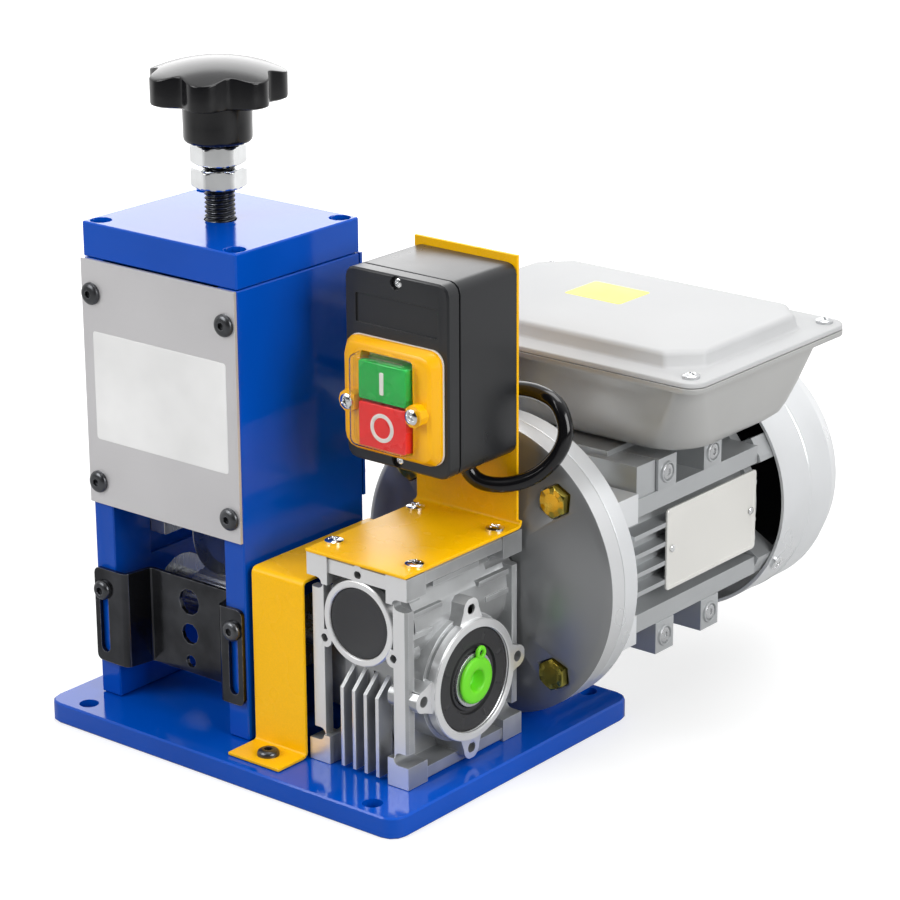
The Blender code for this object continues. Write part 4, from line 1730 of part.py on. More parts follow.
def build_tower(colours):
    tower = place("tower_place", (TOWER_X, TOWER_Y, BASE_THICKNESS + SEAT_GAP))
    make_side_plate("left_side_plate", -1, tower, colours["blue"])
    make_side_plate("right_side_plate", 1, tower, colours["blue"])
    make_top_plate(tower, colours["blue"])
    make_guard("front_guard", -1, tower, colours["brushed"])
    make_guard("rear_guard", 1, tower, colours["blue"])
    guide = place("guide_place", (0, -TOWER_DEPTH / 2, GUIDE_BOTTOM), tower)
    make_guide_plate(guide, colours["black_oxide"])
    make_guide_screw("left_guide_screw", -1, tower, colours["black_oxide"])
    make_guide_screw("right_guide_screw", 1, tower, colours["black_oxide"])
    blade = place("blade_place", (0, DRIVE_Y_IN_TOWER, BLADE_HEIGHT), tower)
    make_slide_block(blade, colours["steel"])
    make_blade_shaft(blade, colours["steel"])
    make_blade_wheel(blade, colours["dark_steel"])
    rod = place("rod_place", (0, 0, 0), tower)
    make_threaded_rod(rod, colours["black_oxide"])
    make_nut("lower_nut", LOWER_NUT_HEIGHT, rod, colours["zinc"])
    make_nut("upper_nut", UPPER_NUT_HEIGHT, rod, colours["zinc"])
    make_star_knob(rod, colours["black_plastic"])


def build_gearbox(colours):
    gearbox = place("gearbox_place", (GEARBOX_X, GEARBOX_Y, BASE_THICKNESS + SEAT_GAP))
    make_shaft_cover(gearbox, colours["yellow"])
    make_gearbox_housing(gearbox, colours["cast"])
    make_output_cover(gearbox, colours["cast"])
    make_seal("left_output_seal", -1, gearbox, colours["rubber"])
    make_seal("right_output_seal", 1, gearbox, colours["rubber"])
    make_end_cap(gearbox, colours["rubber"])
    drive = place("drive_place", (0, 0, DRIVE_HEIGHT), gearbox)
    make_feed_roller(drive, colours["steel"])
    make_drive_shaft(drive, colours["steel"])
    make_hollow_shaft(drive, colours["steel"])
    make_worm_wheel(drive, colours["bronze"])
    make_output_plug(drive, colours["lime"])
    drive_bearing = (DRIVE_BEARING_BORE_RADIUS, DRIVE_BEARING_RADIUS, DRIVE_BEARING_WIDTH)
    tower = TOWER_X_FROM_GEARBOX
    outer = TOWER_HALF - RUN_GAP
    make_bearing("left_shaft_bearing", "X", drive_bearing, tower - outer, drive, colours["steel"])
    make_bearing("right_shaft_bearing", "X", drive_bearing, tower + outer - DRIVE_BEARING_WIDTH, drive,
                 colours["steel"])
    output_bearing = (OUTPUT_BEARING_BORE_RADIUS, OUTPUT_BEARING_RADIUS, OUTPUT_BEARING_WIDTH)
    make_bearing("left_output_bearing", "X", output_bearing,
                 -OUTPUT_BEARING_INNER_FACE - OUTPUT_BEARING_WIDTH, drive, colours["steel"])
    make_bearing("right_output_bearing", "X", output_bearing, OUTPUT_BEARING_INNER_FACE, drive,
                 colours["steel"])
    worm = place("worm_place", (0, 0, WORM_HEIGHT), gearbox)
    make_worm_shaft(worm, colours["steel"])
    front_bearing = (WORM_FRONT_BEARING_BORE_RADIUS, WORM_FRONT_BEARING_RADIUS, WORM_FRONT_BEARING_WIDTH)
    make_bearing("front_worm_bearing", "Y", front_bearing,
                 -GEARBOX_FRONT + END_CAP_RECESS + END_CAP_THICKNESS + SEAT_GAP, worm, colours["steel"])
    rear_bearing = (WORM_REAR_BEARING_BORE_RADIUS, WORM_REAR_BEARING_RADIUS, WORM_REAR_BEARING_WIDTH)
    make_bearing("rear_worm_bearing", "Y", rear_bearing, WORM_REAR_BEARING_FACE, worm, colours["steel"])
    return gearbox, worm


def build_motor(worm, colours):
    make_input_flange(worm, colours["cast"])
    for number, centre in enumerate(bolt_places(), 1):
        make_flange_bolt(f"flange_bolt_{number}", centre, worm, colours["yellow_zinc"])
    make_front_shield(worm, colours["motor_grey"])
    make_motor_frame(worm, colours["motor_grey"])
    make_stator(worm, colours["copper"])
    make_rotor(worm, colours["steel"])
    motor_bearing = (MOTOR_BEARING_BORE_RADIUS, MOTOR_BEARING_RADIUS, MOTOR_BEARING_WIDTH)
    make_bearing("front_motor_bearing", "Y", motor_bearing, FRONT_BEARING_FACE, worm, colours["steel"])
    make_bearing("rear_motor_bearing", "Y", motor_bearing, REAR_BEARING_FACE, worm, colours["steel"])
    make_rear_shield(worm, colours["motor_grey"])
    make_fan(worm, colours["black_plastic"])
    make_fan_cover(worm, colours["cover_grey"])


def build_terminal_box(gearbox, colours):
    box = place("terminal_box_place", (0, BOX_Y, BOX_BOTTOM_Z), gearbox)
    make_terminal_box(box, colours["pale_grey"])
    make_terminal_lid(box, colours["pale_grey"])
    make_capacitor(box, colours["black_plastic"])
    make_box_gland(box, colours["black_plastic"])


def build_switch(gearbox, worm, colours):
    top = place("bracket_place", (0, 0, GEARBOX_HEIGHT), gearbox)
    make_switch_bracket(top, colours["yellow"])
    back = BRACKET_BACK - BRACKET_SHEET - SEAT_GAP
    switch = place("switch_place", (BRACKET_UPRIGHT_SHIFT, back - SWITCH_BODY_DEPTH, SWITCH_BOTTOM), gearbox)
    make_switch_box(switch, colours["charcoal"])
    make_switch_cover(switch, colours["charcoal"])
    make_bezel(switch, colours["yellow"])
    make_contact_block(switch, colours["black_plastic"])
    buttons = place("button_place", (0, -2 * SEAT_GAP - SWITCH_COVER_DEPTH, BEZEL_Z), switch)
    make_button("green_button", 1, GREEN_BUTTON_HEIGHT, buttons, colours["green"])
    make_button("red_button", -1, RED_BUTTON_HEIGHT, buttons, colours["red"])
    make_switch_lead(worm, colours["black_plastic"])


def main():
    clear_scene()
    colours = {
        "blue": finish("blue enamel", (0.010, 0.075, 0.42), 0.22, 0.0),
        "brushed": finish("brushed aluminium", (0.62, 0.63, 0.65), 0.38, 1.0),
        "black_oxide": finish("black oxide", (0.035, 0.037, 0.042), 0.35, 0.9),
        "steel": finish("bright steel", (0.55, 0.56, 0.58), 0.3, 1.0),
        "dark_steel": finish("tool steel", (0.16, 0.165, 0.17), 0.35, 1.0),
        "zinc": finish("bright zinc", (0.68, 0.69, 0.71), 0.22, 1.0),
        "yellow_zinc": finish("yellow zinc", (0.62, 0.43, 0.10), 0.25, 1.0),
        "black_plastic": finish("black plastic", (0.012, 0.012, 0.013), 0.3, 0.0),
        "yellow": finish("yellow powder coat", (0.95, 0.52, 0.005), 0.4, 0.0),
        "cast": finish("cast aluminium", (0.48, 0.49, 0.50), 0.45, 0.9),
        "rubber": finish("black rubber", (0.02, 0.02, 0.021), 0.6, 0.0),
        "bronze": finish("bronze", (0.52, 0.33, 0.12), 0.35, 1.0),
        "lime": finish("lime plastic", (0.19, 0.80, 0.02), 0.4, 0.0),
        "motor_grey": finish("motor grey paint", (0.21, 0.23, 0.24), 0.45, 0.2),
        "copper": finish("wound core", (0.42, 0.22, 0.10), 0.5, 0.6),
        "cover_grey": finish("fan cover grey", (0.42, 0.44, 0.46), 0.4, 0.2),
        "pale_grey": finish("pale grey paint", (0.60, 0.61, 0.60), 0.4, 0.0),
        "charcoal": finish("charcoal plastic", (0.030, 0.031, 0.034), 0.5, 0.0),
        "green": finish("green button", (0.02, 0.42, 0.07), 0.4, 0.0),
        "red": finish("red button", (0.68, 0.02, 0.02), 0.4, 0.0),
    }
    make_base_plate(colours["blue"])
    build_tower(colours)
    gearbox, worm = build_gearbox(colours)
    build_motor(worm, colours)
    build_terminal_box(gearbox, colours)
    build_switch(gearbox, worm, colours)


main()
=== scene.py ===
# %% [markdown]
# # A bench wire stripping machine
#
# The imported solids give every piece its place. This notebook gives them their looks: first the
# camera, the light and the finishes, then smooth bevelled copies of the plain solids, and then
# the pieces that deserve a surface of their own, such as the knob, the screws and the seals.

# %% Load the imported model
import json
import math

import bmesh
import bpy
import numpy as np
from mathutils import Matrix, Vector


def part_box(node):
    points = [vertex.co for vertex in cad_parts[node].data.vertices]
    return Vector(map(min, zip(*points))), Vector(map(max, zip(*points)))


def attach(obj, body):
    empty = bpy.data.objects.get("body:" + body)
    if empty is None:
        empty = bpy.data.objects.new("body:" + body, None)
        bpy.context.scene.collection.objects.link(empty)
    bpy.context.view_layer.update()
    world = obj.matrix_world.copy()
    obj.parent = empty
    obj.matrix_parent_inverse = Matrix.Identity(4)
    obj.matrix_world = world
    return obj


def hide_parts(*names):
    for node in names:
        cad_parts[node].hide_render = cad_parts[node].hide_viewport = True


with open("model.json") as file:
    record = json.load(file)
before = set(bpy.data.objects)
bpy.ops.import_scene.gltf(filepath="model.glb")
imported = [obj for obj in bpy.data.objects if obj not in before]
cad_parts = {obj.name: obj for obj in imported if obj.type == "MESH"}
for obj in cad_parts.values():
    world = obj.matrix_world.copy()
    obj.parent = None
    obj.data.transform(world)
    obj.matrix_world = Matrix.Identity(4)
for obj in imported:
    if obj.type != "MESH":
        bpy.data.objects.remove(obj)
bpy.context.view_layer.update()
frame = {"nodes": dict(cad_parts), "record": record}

# %% [markdown]
# ## Places
#
# Each piece takes its place from the solid that carries it, so a box round a solid is all that
# is needed: its lowest and highest corner, its middle, and its middle as seen along an axis.


# %% Read places from the solids
def low(node):
    """Lowest corner of a solid."""
    return np.array(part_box(node)[0])


def high(node):
    """Highest corner of a solid."""
    return np.array(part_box(node)[1])


def middle(node):
    """Halfway between a solid's two corners."""
    return (low(node) + high(node)) / 2


def centre_across(node, axis):
    """A solid's middle as seen along an axis: its two other coordinates, in order."""
    return tuple(np.delete(middle(node), "XYZ".index(axis)))


BASE_TOP = high("base_plate")[2]
TOWER = np.array([middle("top_plate")[0], middle("top_plate")[1], BASE_TOP])
GEAR = np.array([middle("worm_end_cap")[0], middle("worm_wheel")[1], BASE_TOP])
WORM_Z = middle("worm_end_cap")[2]
DRIVE_Z = middle("worm_wheel")[2]
print("tower at", TOWER.round(4), "gearbox at", GEAR.round(4))

# %% [markdown]
# ## Camera
#
# The camera stands where the photograph was taken from. Its place and turn were fitted to the
# corners of the gearbox, and the shift moves the picture so that the machine sits as framed.

# %% Camera
CAMERA_PLACE = Vector((0.8735, -0.99048, 0.58198))
CAMERA_YAW = 0.676
CAMERA_PITCH = 0.328
CAMERA_ROLL = -0.003
camera = bpy.data.objects.new("camera", bpy.data.cameras.new("camera"))
bpy.context.collection.objects.link(camera)
camera.data.sensor_width = 36
camera.data.lens = 124.45
camera.data.shift_x = -0.02484
camera.data.shift_y = -0.00689
camera.data.clip_end = 20
forward = Vector((-math.sin(CAMERA_YAW) * math.cos(CAMERA_PITCH),
                  math.cos(CAMERA_YAW) * math.cos(CAMERA_PITCH), -math.sin(CAMERA_PITCH)))
rightward = Vector((math.cos(CAMERA_YAW), math.sin(CAMERA_YAW), 0))
upward = rightward.cross(forward)
turn = Matrix((rightward, upward, -forward)).transposed() @ Matrix.Rotation(CAMERA_ROLL, 3, "Z")
camera.matrix_world = Matrix.Translation(CAMERA_PLACE) @ turn.to_4x4()
bpy.context.scene.camera = camera
print("camera is", round((CAMERA_PLACE - Vector(GEAR)).length, 3), "m from the gearbox")

# %% [markdown]
# ## Light
#
# A product picture like this one is lit by large soft boxes in a white room. Four area lamps
# stand in front, at the side, above and behind. The world looks white to the camera and fills
# the shadows with less than that. A mirroring surface sees it bright behind the machine and dim
# on the camera's side, which is what gives dark paint and metal their contrast.


# %% Studio light
def area_lamp(name, place, target, size, power):
    """A square soft lamp at a place, turned to face a target."""
    lamp = bpy.data.lights.new(name, "AREA")
    lamp.size = size
    lamp.energy = power
    holder = bpy.data.objects.new(name, lamp)
    holder.location = place
    holder.rotation_euler = (Vector(target) - Vector(place)).to_track_quat("-Z", "Y").to_euler()
    bpy.context.collection.objects.link(holder)


STUDIO_TARGET = (0.0, 0.0, 0.12)
area_lamp("key_box", (-0.55, -1.15, 1.05), STUDIO_TARGET, 0.9, 15)
area_lamp("side_box", (1.45, -0.10, 0.75), STUDIO_TARGET, 0.9, 16)
area_lamp("top_box", (0.10, 0.30, 1.40), STUDIO_TARGET, 0.9, 10)
area_lamp("back_box", (-1.45, 1.70, 1.15), STUDIO_TARGET, 1.6, 16)
print(len(bpy.data.lights), "lamps")

# %% White room
def add_node(tree, kind, values=(), **settings):
    """A shader node with its settings, whose first inputs are linked or set from values."""
    made = tree.nodes.new(kind)
    for setting, value in settings.items():
        setattr(made, setting, value)
    for socket, value in zip(made.inputs, values):
        if isinstance(value, bpy.types.NodeSocket):
            tree.links.new(value, socket)
        elif value is not None:
            socket.default_value = value
    return made


# The backdrop stands behind the machine, and the camera's side of the room is dim
BEHIND = (-0.56, 0.70, 0.45)
DIM_SIDE = 0.03
AMBIENT = 0.30
world = bpy.data.worlds.new("white_room")
bpy.context.scene.world = world
world.use_nodes = True
room = world.node_tree
direction = add_node(room, "ShaderNodeTexCoord").outputs["Generated"]
towards_back = add_node(room, "ShaderNodeVectorMath", (direction, BEHIND), operation="DOT_PRODUCT")
mirrored = add_node(room, "ShaderNodeMapRange",
                    (towards_back.outputs["Value"], -0.45, 0.55, DIM_SIDE, 1.0)).outputs["Result"]
rays = add_node(room, "ShaderNodeLightPath").outputs
lit = add_node(room, "ShaderNodeMix", (rays["Is Glossy Ray"], None, AMBIENT, mirrored)).outputs[0]
seen = add_node(room, "ShaderNodeMath", (rays["Is Camera Ray"], rays["Is Transmission Ray"]),
                operation="MAXIMUM").outputs[0]
strength = add_node(room, "ShaderNodeMix", (seen, None, lit, 1.0)).outputs[0]
background = room.nodes["Background"]
background.inputs["Color"].default_value = (1.0, 1.0, 1.0, 1.0)
room.links.new(strength, background.inputs["Strength"])
bpy.context.scene.view_settings.view_transform = "Standard"
print("white room, dim side at", DIM_SIDE)

# %% [markdown]
# ## Finishes
#
# Each finish is one Principled material with the small changes that a real surface shows: a
# slight wander of the colour, streaks or grain, and a fine bump. All patterns read Object
# coordinates, which here are metres, so a noise scale of 1000 gives marks of about 1 mm.


# %% A helper that builds a finish
class Finish:
    """A material under construction, with the few nodes that all finishes share."""

    def __init__(self, name, colour, roughness, metallic=0.0):
        self.material = bpy.data.materials.new(name)
        self.material.use_nodes = True
        self.tree = self.material.node_tree
        self.shader = self.tree.nodes["Principled BSDF"]
        self.colour = colour
        self.roughness = roughness
        self.shader.inputs["Base Color"].default_value = (*colour, 1.0)
        self.shader.inputs["Roughness"].default_value = roughness
        self.shader.inputs["Metallic"].default_value = metallic
        self.coordinates = self.tree.nodes.new("ShaderNodeTexCoord").outputs["Object"]

    def node(self, kind, values=(), **settings):
        """A new node of this material, whose first inputs are linked or set from values."""
        return add_node(self.tree, kind, values, **settings)

    def noise(self, scale, stretch=(1, 1, 1), detail=3.0):
        """Noise in Object coordinates, squeezed along each axis by a stretch."""
        mapped = self.node("ShaderNodeMapping", (self.coordinates,))
        mapped.inputs["Scale"].default_value = stretch
        made = self.node("ShaderNodeTexNoise", (mapped.outputs["Vector"],))
        made.inputs["Scale"].default_value = scale
        made.inputs["Detail"].default_value = detail
        return made.outputs["Fac"]

    def spread(self, value, start, stop, to_start, to_stop):
        """Carry a value's range to another range, held at both ends."""
        made = self.node("ShaderNodeMapRange", (value, start, stop, to_start, to_stop))
        return made.outputs["Result"]

    def mix(self, factor, first, second):
        """Blend two colours by a factor."""
        ends = [value if isinstance(value, bpy.types.NodeSocket) else (*value, 1.0)
                for value in (first, second)]
        unused = [None] * 5
        return self.node("ShaderNodeMix", (factor, *unused, *ends), data_type="RGBA").outputs[2]

    def math(self, operation, *values):
        """One arithmetic step."""
        return self.node("ShaderNodeMath", values, operation=operation).outputs[0]

    def paint(self, colour):
        self.tree.links.new(colour, self.shader.inputs["Base Color"])

    def rough(self, value):
        self.tree.links.new(value, self.shader.inputs["Roughness"])

    def wander(self, pattern, margin, darker, lighter):
        """The finish's colour, from a darker to a lighter shade as a pattern goes from its low
        margin to its high one."""
        share = self.spread(pattern, margin, 1 - margin, 0.0, 1.0)
        return self.mix(share, shade(self.colour, darker), shade(self.colour, lighter))

    def vary_shine(self, pattern, margin, smoother, rougher):
        """Let the roughness follow a pattern between two shares of its own value."""
        self.rough(self.spread(pattern, margin, 1 - margin, self.roughness * smoother,
                               self.roughness * rougher))

    def bump(self, height, distance, under=None):
        """Raise the surface by a height in metres times a pattern."""
        made = self.node("ShaderNodeBump")
        made.inputs["Distance"].default_value = distance
        self.tree.links.new(height, made.inputs["Height"])
        if under is not None:
            self.tree.links.new(under, made.inputs["Normal"])
        self.tree.links.new(made.outputs["Normal"], self.shader.inputs["Normal"])
        return made.outputs["Normal"]

    def edges(self, radius):
        """How far a corner lies within a radius of this point, 0 on a flat and 1 on an edge."""
        rounded = self.node("ShaderNodeBevel", (radius,), samples=6).outputs["Normal"]
        flat = self.node("ShaderNodeNewGeometry").outputs["Normal"]
        match = self.node("ShaderNodeVectorMath", (rounded, flat), operation="DOT_PRODUCT")
        return self.spread(match.outputs["Value"], 0.985, 0.90, 0.0, 1.0)

    def facing(self, axis, sign, place, reach):
        """1 where the surface looks along an axis and lies within reach of a place on it."""
        normal = self.node("ShaderNodeNewGeometry").outputs["True Normal"]
        outward = self.node("ShaderNodeSeparateXYZ", (normal,)).outputs[axis]
        along = self.node("ShaderNodeSeparateXYZ", (self.coordinates,)).outputs[axis]
        turned_there = self.math("GREATER_THAN", self.math("MULTIPLY", outward, float(sign)), 0.97)
        lies_there = self.math("COMPARE", along, float(place), float(reach))
        return self.math("MULTIPLY", turned_there, lies_there)


def shade(colour, factor):
    """The same colour, lighter or darker by a factor."""
    return tuple(min(1.0, part * factor) for part in colour)


print("finishes are built by", Finish.__name__)

# %% [markdown]
# ### Paints
#
# The base and the tower have a glossy enamel with a faint orange peel. The covers are powder
# coated, which gives a pebbled skin with a softer shine. The motor and its terminal box have a
# thin industrial paint over a casting, so the casting's grain shows through.


# %% Paint finishes
PAINT_REFLECTION = 0.3


def enamel(name, colour, roughness, peel):
    """Glossy paint: colour that wanders a little, and a soft orange peel."""
    made = Finish(name, colour, roughness)
    made.paint(made.wander(made.noise(14, detail=2.0), 0.3, 0.90, 1.10))
    made.vary_shine(made.noise(45), 0.35, 0.8, 1.25)
    made.bump(made.noise(260, detail=0.0), peel)
    made.shader.inputs["Specular IOR Level"].default_value = PAINT_REFLECTION
    return made.material


def powder_coat(name, colour, roughness):
    """Baked powder: an even colour and a fine pebbled skin."""
    made = Finish(name, colour, roughness)
    pebble = made.noise(1500, detail=2.0)
    made.paint(made.wander(pebble, 0.35, 0.94, 1.0))
    made.vary_shine(made.noise(30), 0.3, 0.85, 1.15)
    made.bump(pebble, 0.00002)
    made.shader.inputs["Specular IOR Level"].default_value = PAINT_REFLECTION
    return made.material


def painted_casting(name, colour, roughness, grain, metallic=0.15, rim=None):
    """Thin paint over a casting: a faint grain, worn edges, and a paler turned rim where given."""
    made = Finish(name, colour, roughness, metallic)
    broad = made.noise(35, detail=2.0)
    body = made.wander(broad, 0.15, 0.95, 1.04)
    if rim:
        normal = made.node("ShaderNodeNewGeometry").outputs["True Normal"]
        across = made.node("ShaderNodeSeparateXYZ", (normal,)).outputs["Y"]
        radial = made.math("LESS_THAN", made.math("ABSOLUTE", across), 0.5)
        body = made.mix(radial, body, rim)
    worn = made.math("MULTIPLY", made.edges(0.0006), 0.25)
    made.paint(made.mix(worn, body, shade(colour, 1.4)))
    made.vary_shine(broad, 0.15, 0.85, 1.15)
    made.bump(made.noise(900, detail=1.0), grain)
    return made.material


blue = enamel("blue_enamel", (0.0, 0.070, 0.46), 0.11, 0.00001)
yellow_coat = powder_coat("yellow_powder_coat", (1.0, 0.53, 0.0), 0.28)
motor_grey = painted_casting("motor_grey_paint", (0.48, 0.495, 0.505), 0.34, 0.00002, 0.55)
cover_grey = painted_casting("fan_cover_paint", (0.78, 0.795, 0.81), 0.30, 0.000003, 0.5)
pale_grey = painted_casting("pale_box_paint", (0.50, 0.50, 0.49), 0.34, 0.000003, 0.4)
print("paints:", blue.name, yellow_coat.name, motor_grey.name, cover_grey.name, pale_grey.name)

# %% [markdown]
# ### Metals
#
# Sheet aluminium is brushed, so its noise is squeezed into long streaks. The gearbox is cast,
# with a rough grey skin, and only the faces that a cutter has touched are bright: a mask finds
# them by the way they look and by their place. Zinc plate is bright and a little uneven, and
# the yellow kind shifts between gold and olive.


# %% Metal finishes
def brushed(name, colour, roughness, stretch, metallic=0.85):
    """Brushed sheet: long streaks in the shine and in the bump."""
    made = Finish(name, colour, roughness, metallic)
    streak = made.noise(60, stretch, 3.0)
    made.paint(made.wander(made.noise(12, detail=2.0), 0.3, 0.92, 1.05))
    made.vary_shine(streak, 0.3, 0.92, 1.1)
    made.bump(streak, 0.000008)
    return made.material


def plated(name, colour, roughness, second=None):
    """Bright plating over steel, with a second tone in patches where one is given."""
    made = Finish(name, colour, roughness, 1.0)
    patch = made.spread(made.noise(90, detail=3.0), 0.38, 0.62, 0.0, 1.0)
    made.paint(made.mix(patch, colour, second or shade(colour, 0.82)))
    made.vary_shine(made.noise(60), 0.3, 0.8, 1.25)
    made.bump(made.noise(500, detail=1.0), 0.000006)
    return made.material


def oxide(name, colour, roughness):
    """Black oxide on steel: nearly black, satin, and rubbed bright along its edges."""
    made = Finish(name, colour, roughness, 0.9)
    cloud = made.noise(55, detail=4.0)
    body = made.mix(made.spread(cloud, 0.35, 0.7, 0.0, 1.0), colour, shade(colour, 2.1))
    rubbed = made.spread(made.noise(400), 0.35, 0.6, 0.1, 0.7)
    worn = made.math("MULTIPLY", made.edges(0.0007), rubbed)
    made.paint(made.mix(worn, body, (0.30, 0.31, 0.33)))
    made.vary_shine(made.noise(70), 0.3, 0.8, 1.25)
    made.bump(made.noise(700, detail=1.0), 0.00001)
    return made.material


def casting(name, colour, faces):
    """Cast aluminium: a grainy grey skin, and bright turned or milled faces where faces says."""
    made = Finish(name, colour, 0.46, 0.72)
    grain = made.noise(1100, detail=2.0)
    broad = made.noise(40, detail=3.0)
    skin = made.wander(broad, 0.3, 0.80, 1.12)
    skin = made.mix(made.math("MULTIPLY", made.edges(0.0008), 0.5), skin, (0.80, 0.81, 0.82))
    bright = made.facing(*faces[0])
    for face in faces[1:]:
        bright = made.math("MAXIMUM", bright, made.facing(*face))
    made.paint(made.mix(bright, skin, (0.84, 0.845, 0.85)))
    cut_shine = made.spread(bright, 0.0, 1.0, 0.42, 0.33)
    made.rough(made.math("MULTIPLY", cut_shine, made.spread(broad, 0.3, 0.7, 0.92, 1.1)))
    made.bump(made.math("MULTIPLY", grain, made.spread(bright, 0.0, 1.0, 1.0, 0.05)), 0.00004)
    return made.material


guard_sheet = brushed("brushed_aluminium", (0.70, 0.69, 0.70), 0.38, (1.0, 1.0, 30.0), 0.6)
bright_steel = brushed("bright_steel", (0.60, 0.61, 0.62), 0.26, (1.0, 8.0, 1.0))
tool_steel = brushed("tool_steel", (0.33, 0.34, 0.35), 0.26, (1.0, 1.0, 1.0))
black_oxide = oxide("black_oxide", (0.018, 0.019, 0.021), 0.30)
gunmetal = oxide("gunmetal", (0.060, 0.062, 0.066), 0.30)
glossy_oxide = oxide("glossy_oxide", (0.030, 0.031, 0.034), 0.13)
bright_zinc = plated("bright_zinc", (0.88, 0.895, 0.90), 0.13, (0.80, 0.81, 0.815))
yellow_zinc = plated("yellow_zinc", (0.60, 0.45, 0.07), 0.24, (0.40, 0.36, 0.08))
bronze = plated("bronze", (0.58, 0.34, 0.12), 0.32)
wound_core = plated("wound_core", (0.46, 0.22, 0.09), 0.45)
# Each turned or milled face: the axis and side that it looks to, its place and its reach
CUT_FACES = [("Y", -1, GEAR[1] - 0.0385, 0.0004), ("Y", -1, GEAR[1] - 0.0395, 0.0002),
             ("X", 1, GEAR[0] + 0.0332, 0.0004), ("X", 1, GEAR[0] + 0.0312, 0.0004)]
cast_aluminium = casting("cast_aluminium", (0.46, 0.47, 0.475), CUT_FACES)
flange_cast = painted_casting("flange_paint", (0.26, 0.265, 0.27), 0.30, 0.000003, 0.6,
                              rim=(0.74, 0.75, 0.76))
print("metals:", guard_sheet.name, cast_aluminium.name, black_oxide.name, yellow_zinc.name)

# %% [markdown]
# ### Plastics and rubber
#
# The knob is glossy black, the switch box has a fine leathery spark texture, and the bezel and
# the buttons are smooth moulded plastic that lets a little light in. The clear cover over the
# buttons is a thin shell of transparent plastic. The stickers are vinyl.


# %% Plastic and rubber finishes
def plastic(name, colour, roughness, texture=0.000005, scale=900, glow=0.0):
    """Moulded plastic with a fine texture, and a little light inside where glow says."""
    made = Finish(name, colour, roughness)
    made.paint(made.wander(made.noise(25), 0.3, 0.92, 1.06))
    made.vary_shine(made.noise(40), 0.3, 0.9, 1.12)
    made.bump(made.noise(scale, detail=1.0), texture)
    if glow > 0:
        made.shader.inputs["Subsurface Weight"].default_value = glow
        made.shader.inputs["Subsurface Scale"].default_value = 0.002
    return made.material


black_gloss = plastic("black_gloss_plastic", (0.004, 0.004, 0.005), 0.20, 0.000002, 300)
charcoal = plastic("charcoal_plastic", (0.016, 0.017, 0.019), 0.30, 0.00002, 1600)
black_rubber = plastic("black_rubber", (0.026, 0.026, 0.028), 0.55, 0.00004)
cable_black = plastic("cable_sheath", (0.005, 0.005, 0.006), 0.13)
lime = plastic("lime_plastic", (0.16, 0.74, 0.015), 0.42, glow=0.1)
yellow_plastic = plastic("yellow_plastic", (0.98, 0.47, 0.0), 0.24, glow=0.05)
green_plastic = plastic("green_plastic", (0.004, 0.42, 0.06), 0.28, glow=0.05)
red_plastic = plastic("red_plastic", (0.86, 0.012, 0.012), 0.28, glow=0.05)
white_print = plastic("white_print", (0.82, 0.82, 0.81), 0.35)
yellow_print = plastic("yellow_print", (0.90, 0.78, 0.02), 0.35)
clear = Finish("clear_plastic", (0.97, 0.96, 0.94), 0.05)
clear.rough(clear.spread(clear.noise(120), 0.35, 0.65, 0.03, 0.10))
clear.shader.inputs["Transmission Weight"].default_value = 1.0
clear.shader.inputs["IOR"].default_value = 1.25
clear_plastic = clear.material
cap_rubber = plastic("cap_rubber", (0.034, 0.035, 0.038), 0.50, 0.00003, 1800)
lid_white = painted_casting("lid_paint", (0.50, 0.505, 0.51), 0.55, 0.000003, 0.0)
plate_metal = brushed("plate_metal", (0.86, 0.85, 0.81), 0.36, (1.0, 20.0, 1.0), 0.35)
sticker_white = plastic("sticker_vinyl", (0.88, 0.88, 0.875), 0.30, 0.000002)
gasket = plastic("gasket_rubber", (0.78, 0.70, 0.62), 0.30, 0.00001, glow=0.1)
turned_face = brushed("turned_aluminium", (0.92, 0.925, 0.93), 0.30, (3.0, 3.0, 3.0))
print("plastics:", black_gloss.name, charcoal.name, lime.name, clear_plastic.name)

# %% [markdown]
# ## Mesh helpers
#
# A surface is a grid of points worked out with numpy from two parameters, and quads join the
# grid. Poles are merged afterwards, and the normals are made to point outwards.


# %% Grids, turned shapes and pieces
def grid_quads(rows, columns, close_rows=False, close_columns=True):
    """Quads of a grid: point (i, j) has number i x columns + j, and a closed side wraps round."""
    i, j = np.meshgrid(np.arange(rows if close_rows else rows - 1),
                       np.arange(columns if close_columns else columns - 1), indexing="ij")
    after_i = (i + 1) % rows
    after_j = (j + 1) % columns
    corners = (i * columns + j, i * columns + after_j, after_i * columns + after_j, after_i * columns + j)
    return np.stack(corners, axis=-1).reshape(-1, 4)


def to_axis(across, up, along, axis):
    """Stack three arrays as points, with the third one along the named axis."""
    order = {"X": (along, across, up), "Y": (across, along, up), "Z": (across, up, along)}[axis]
    return np.stack(np.broadcast_arrays(*order), axis=-1).reshape(-1, 3)


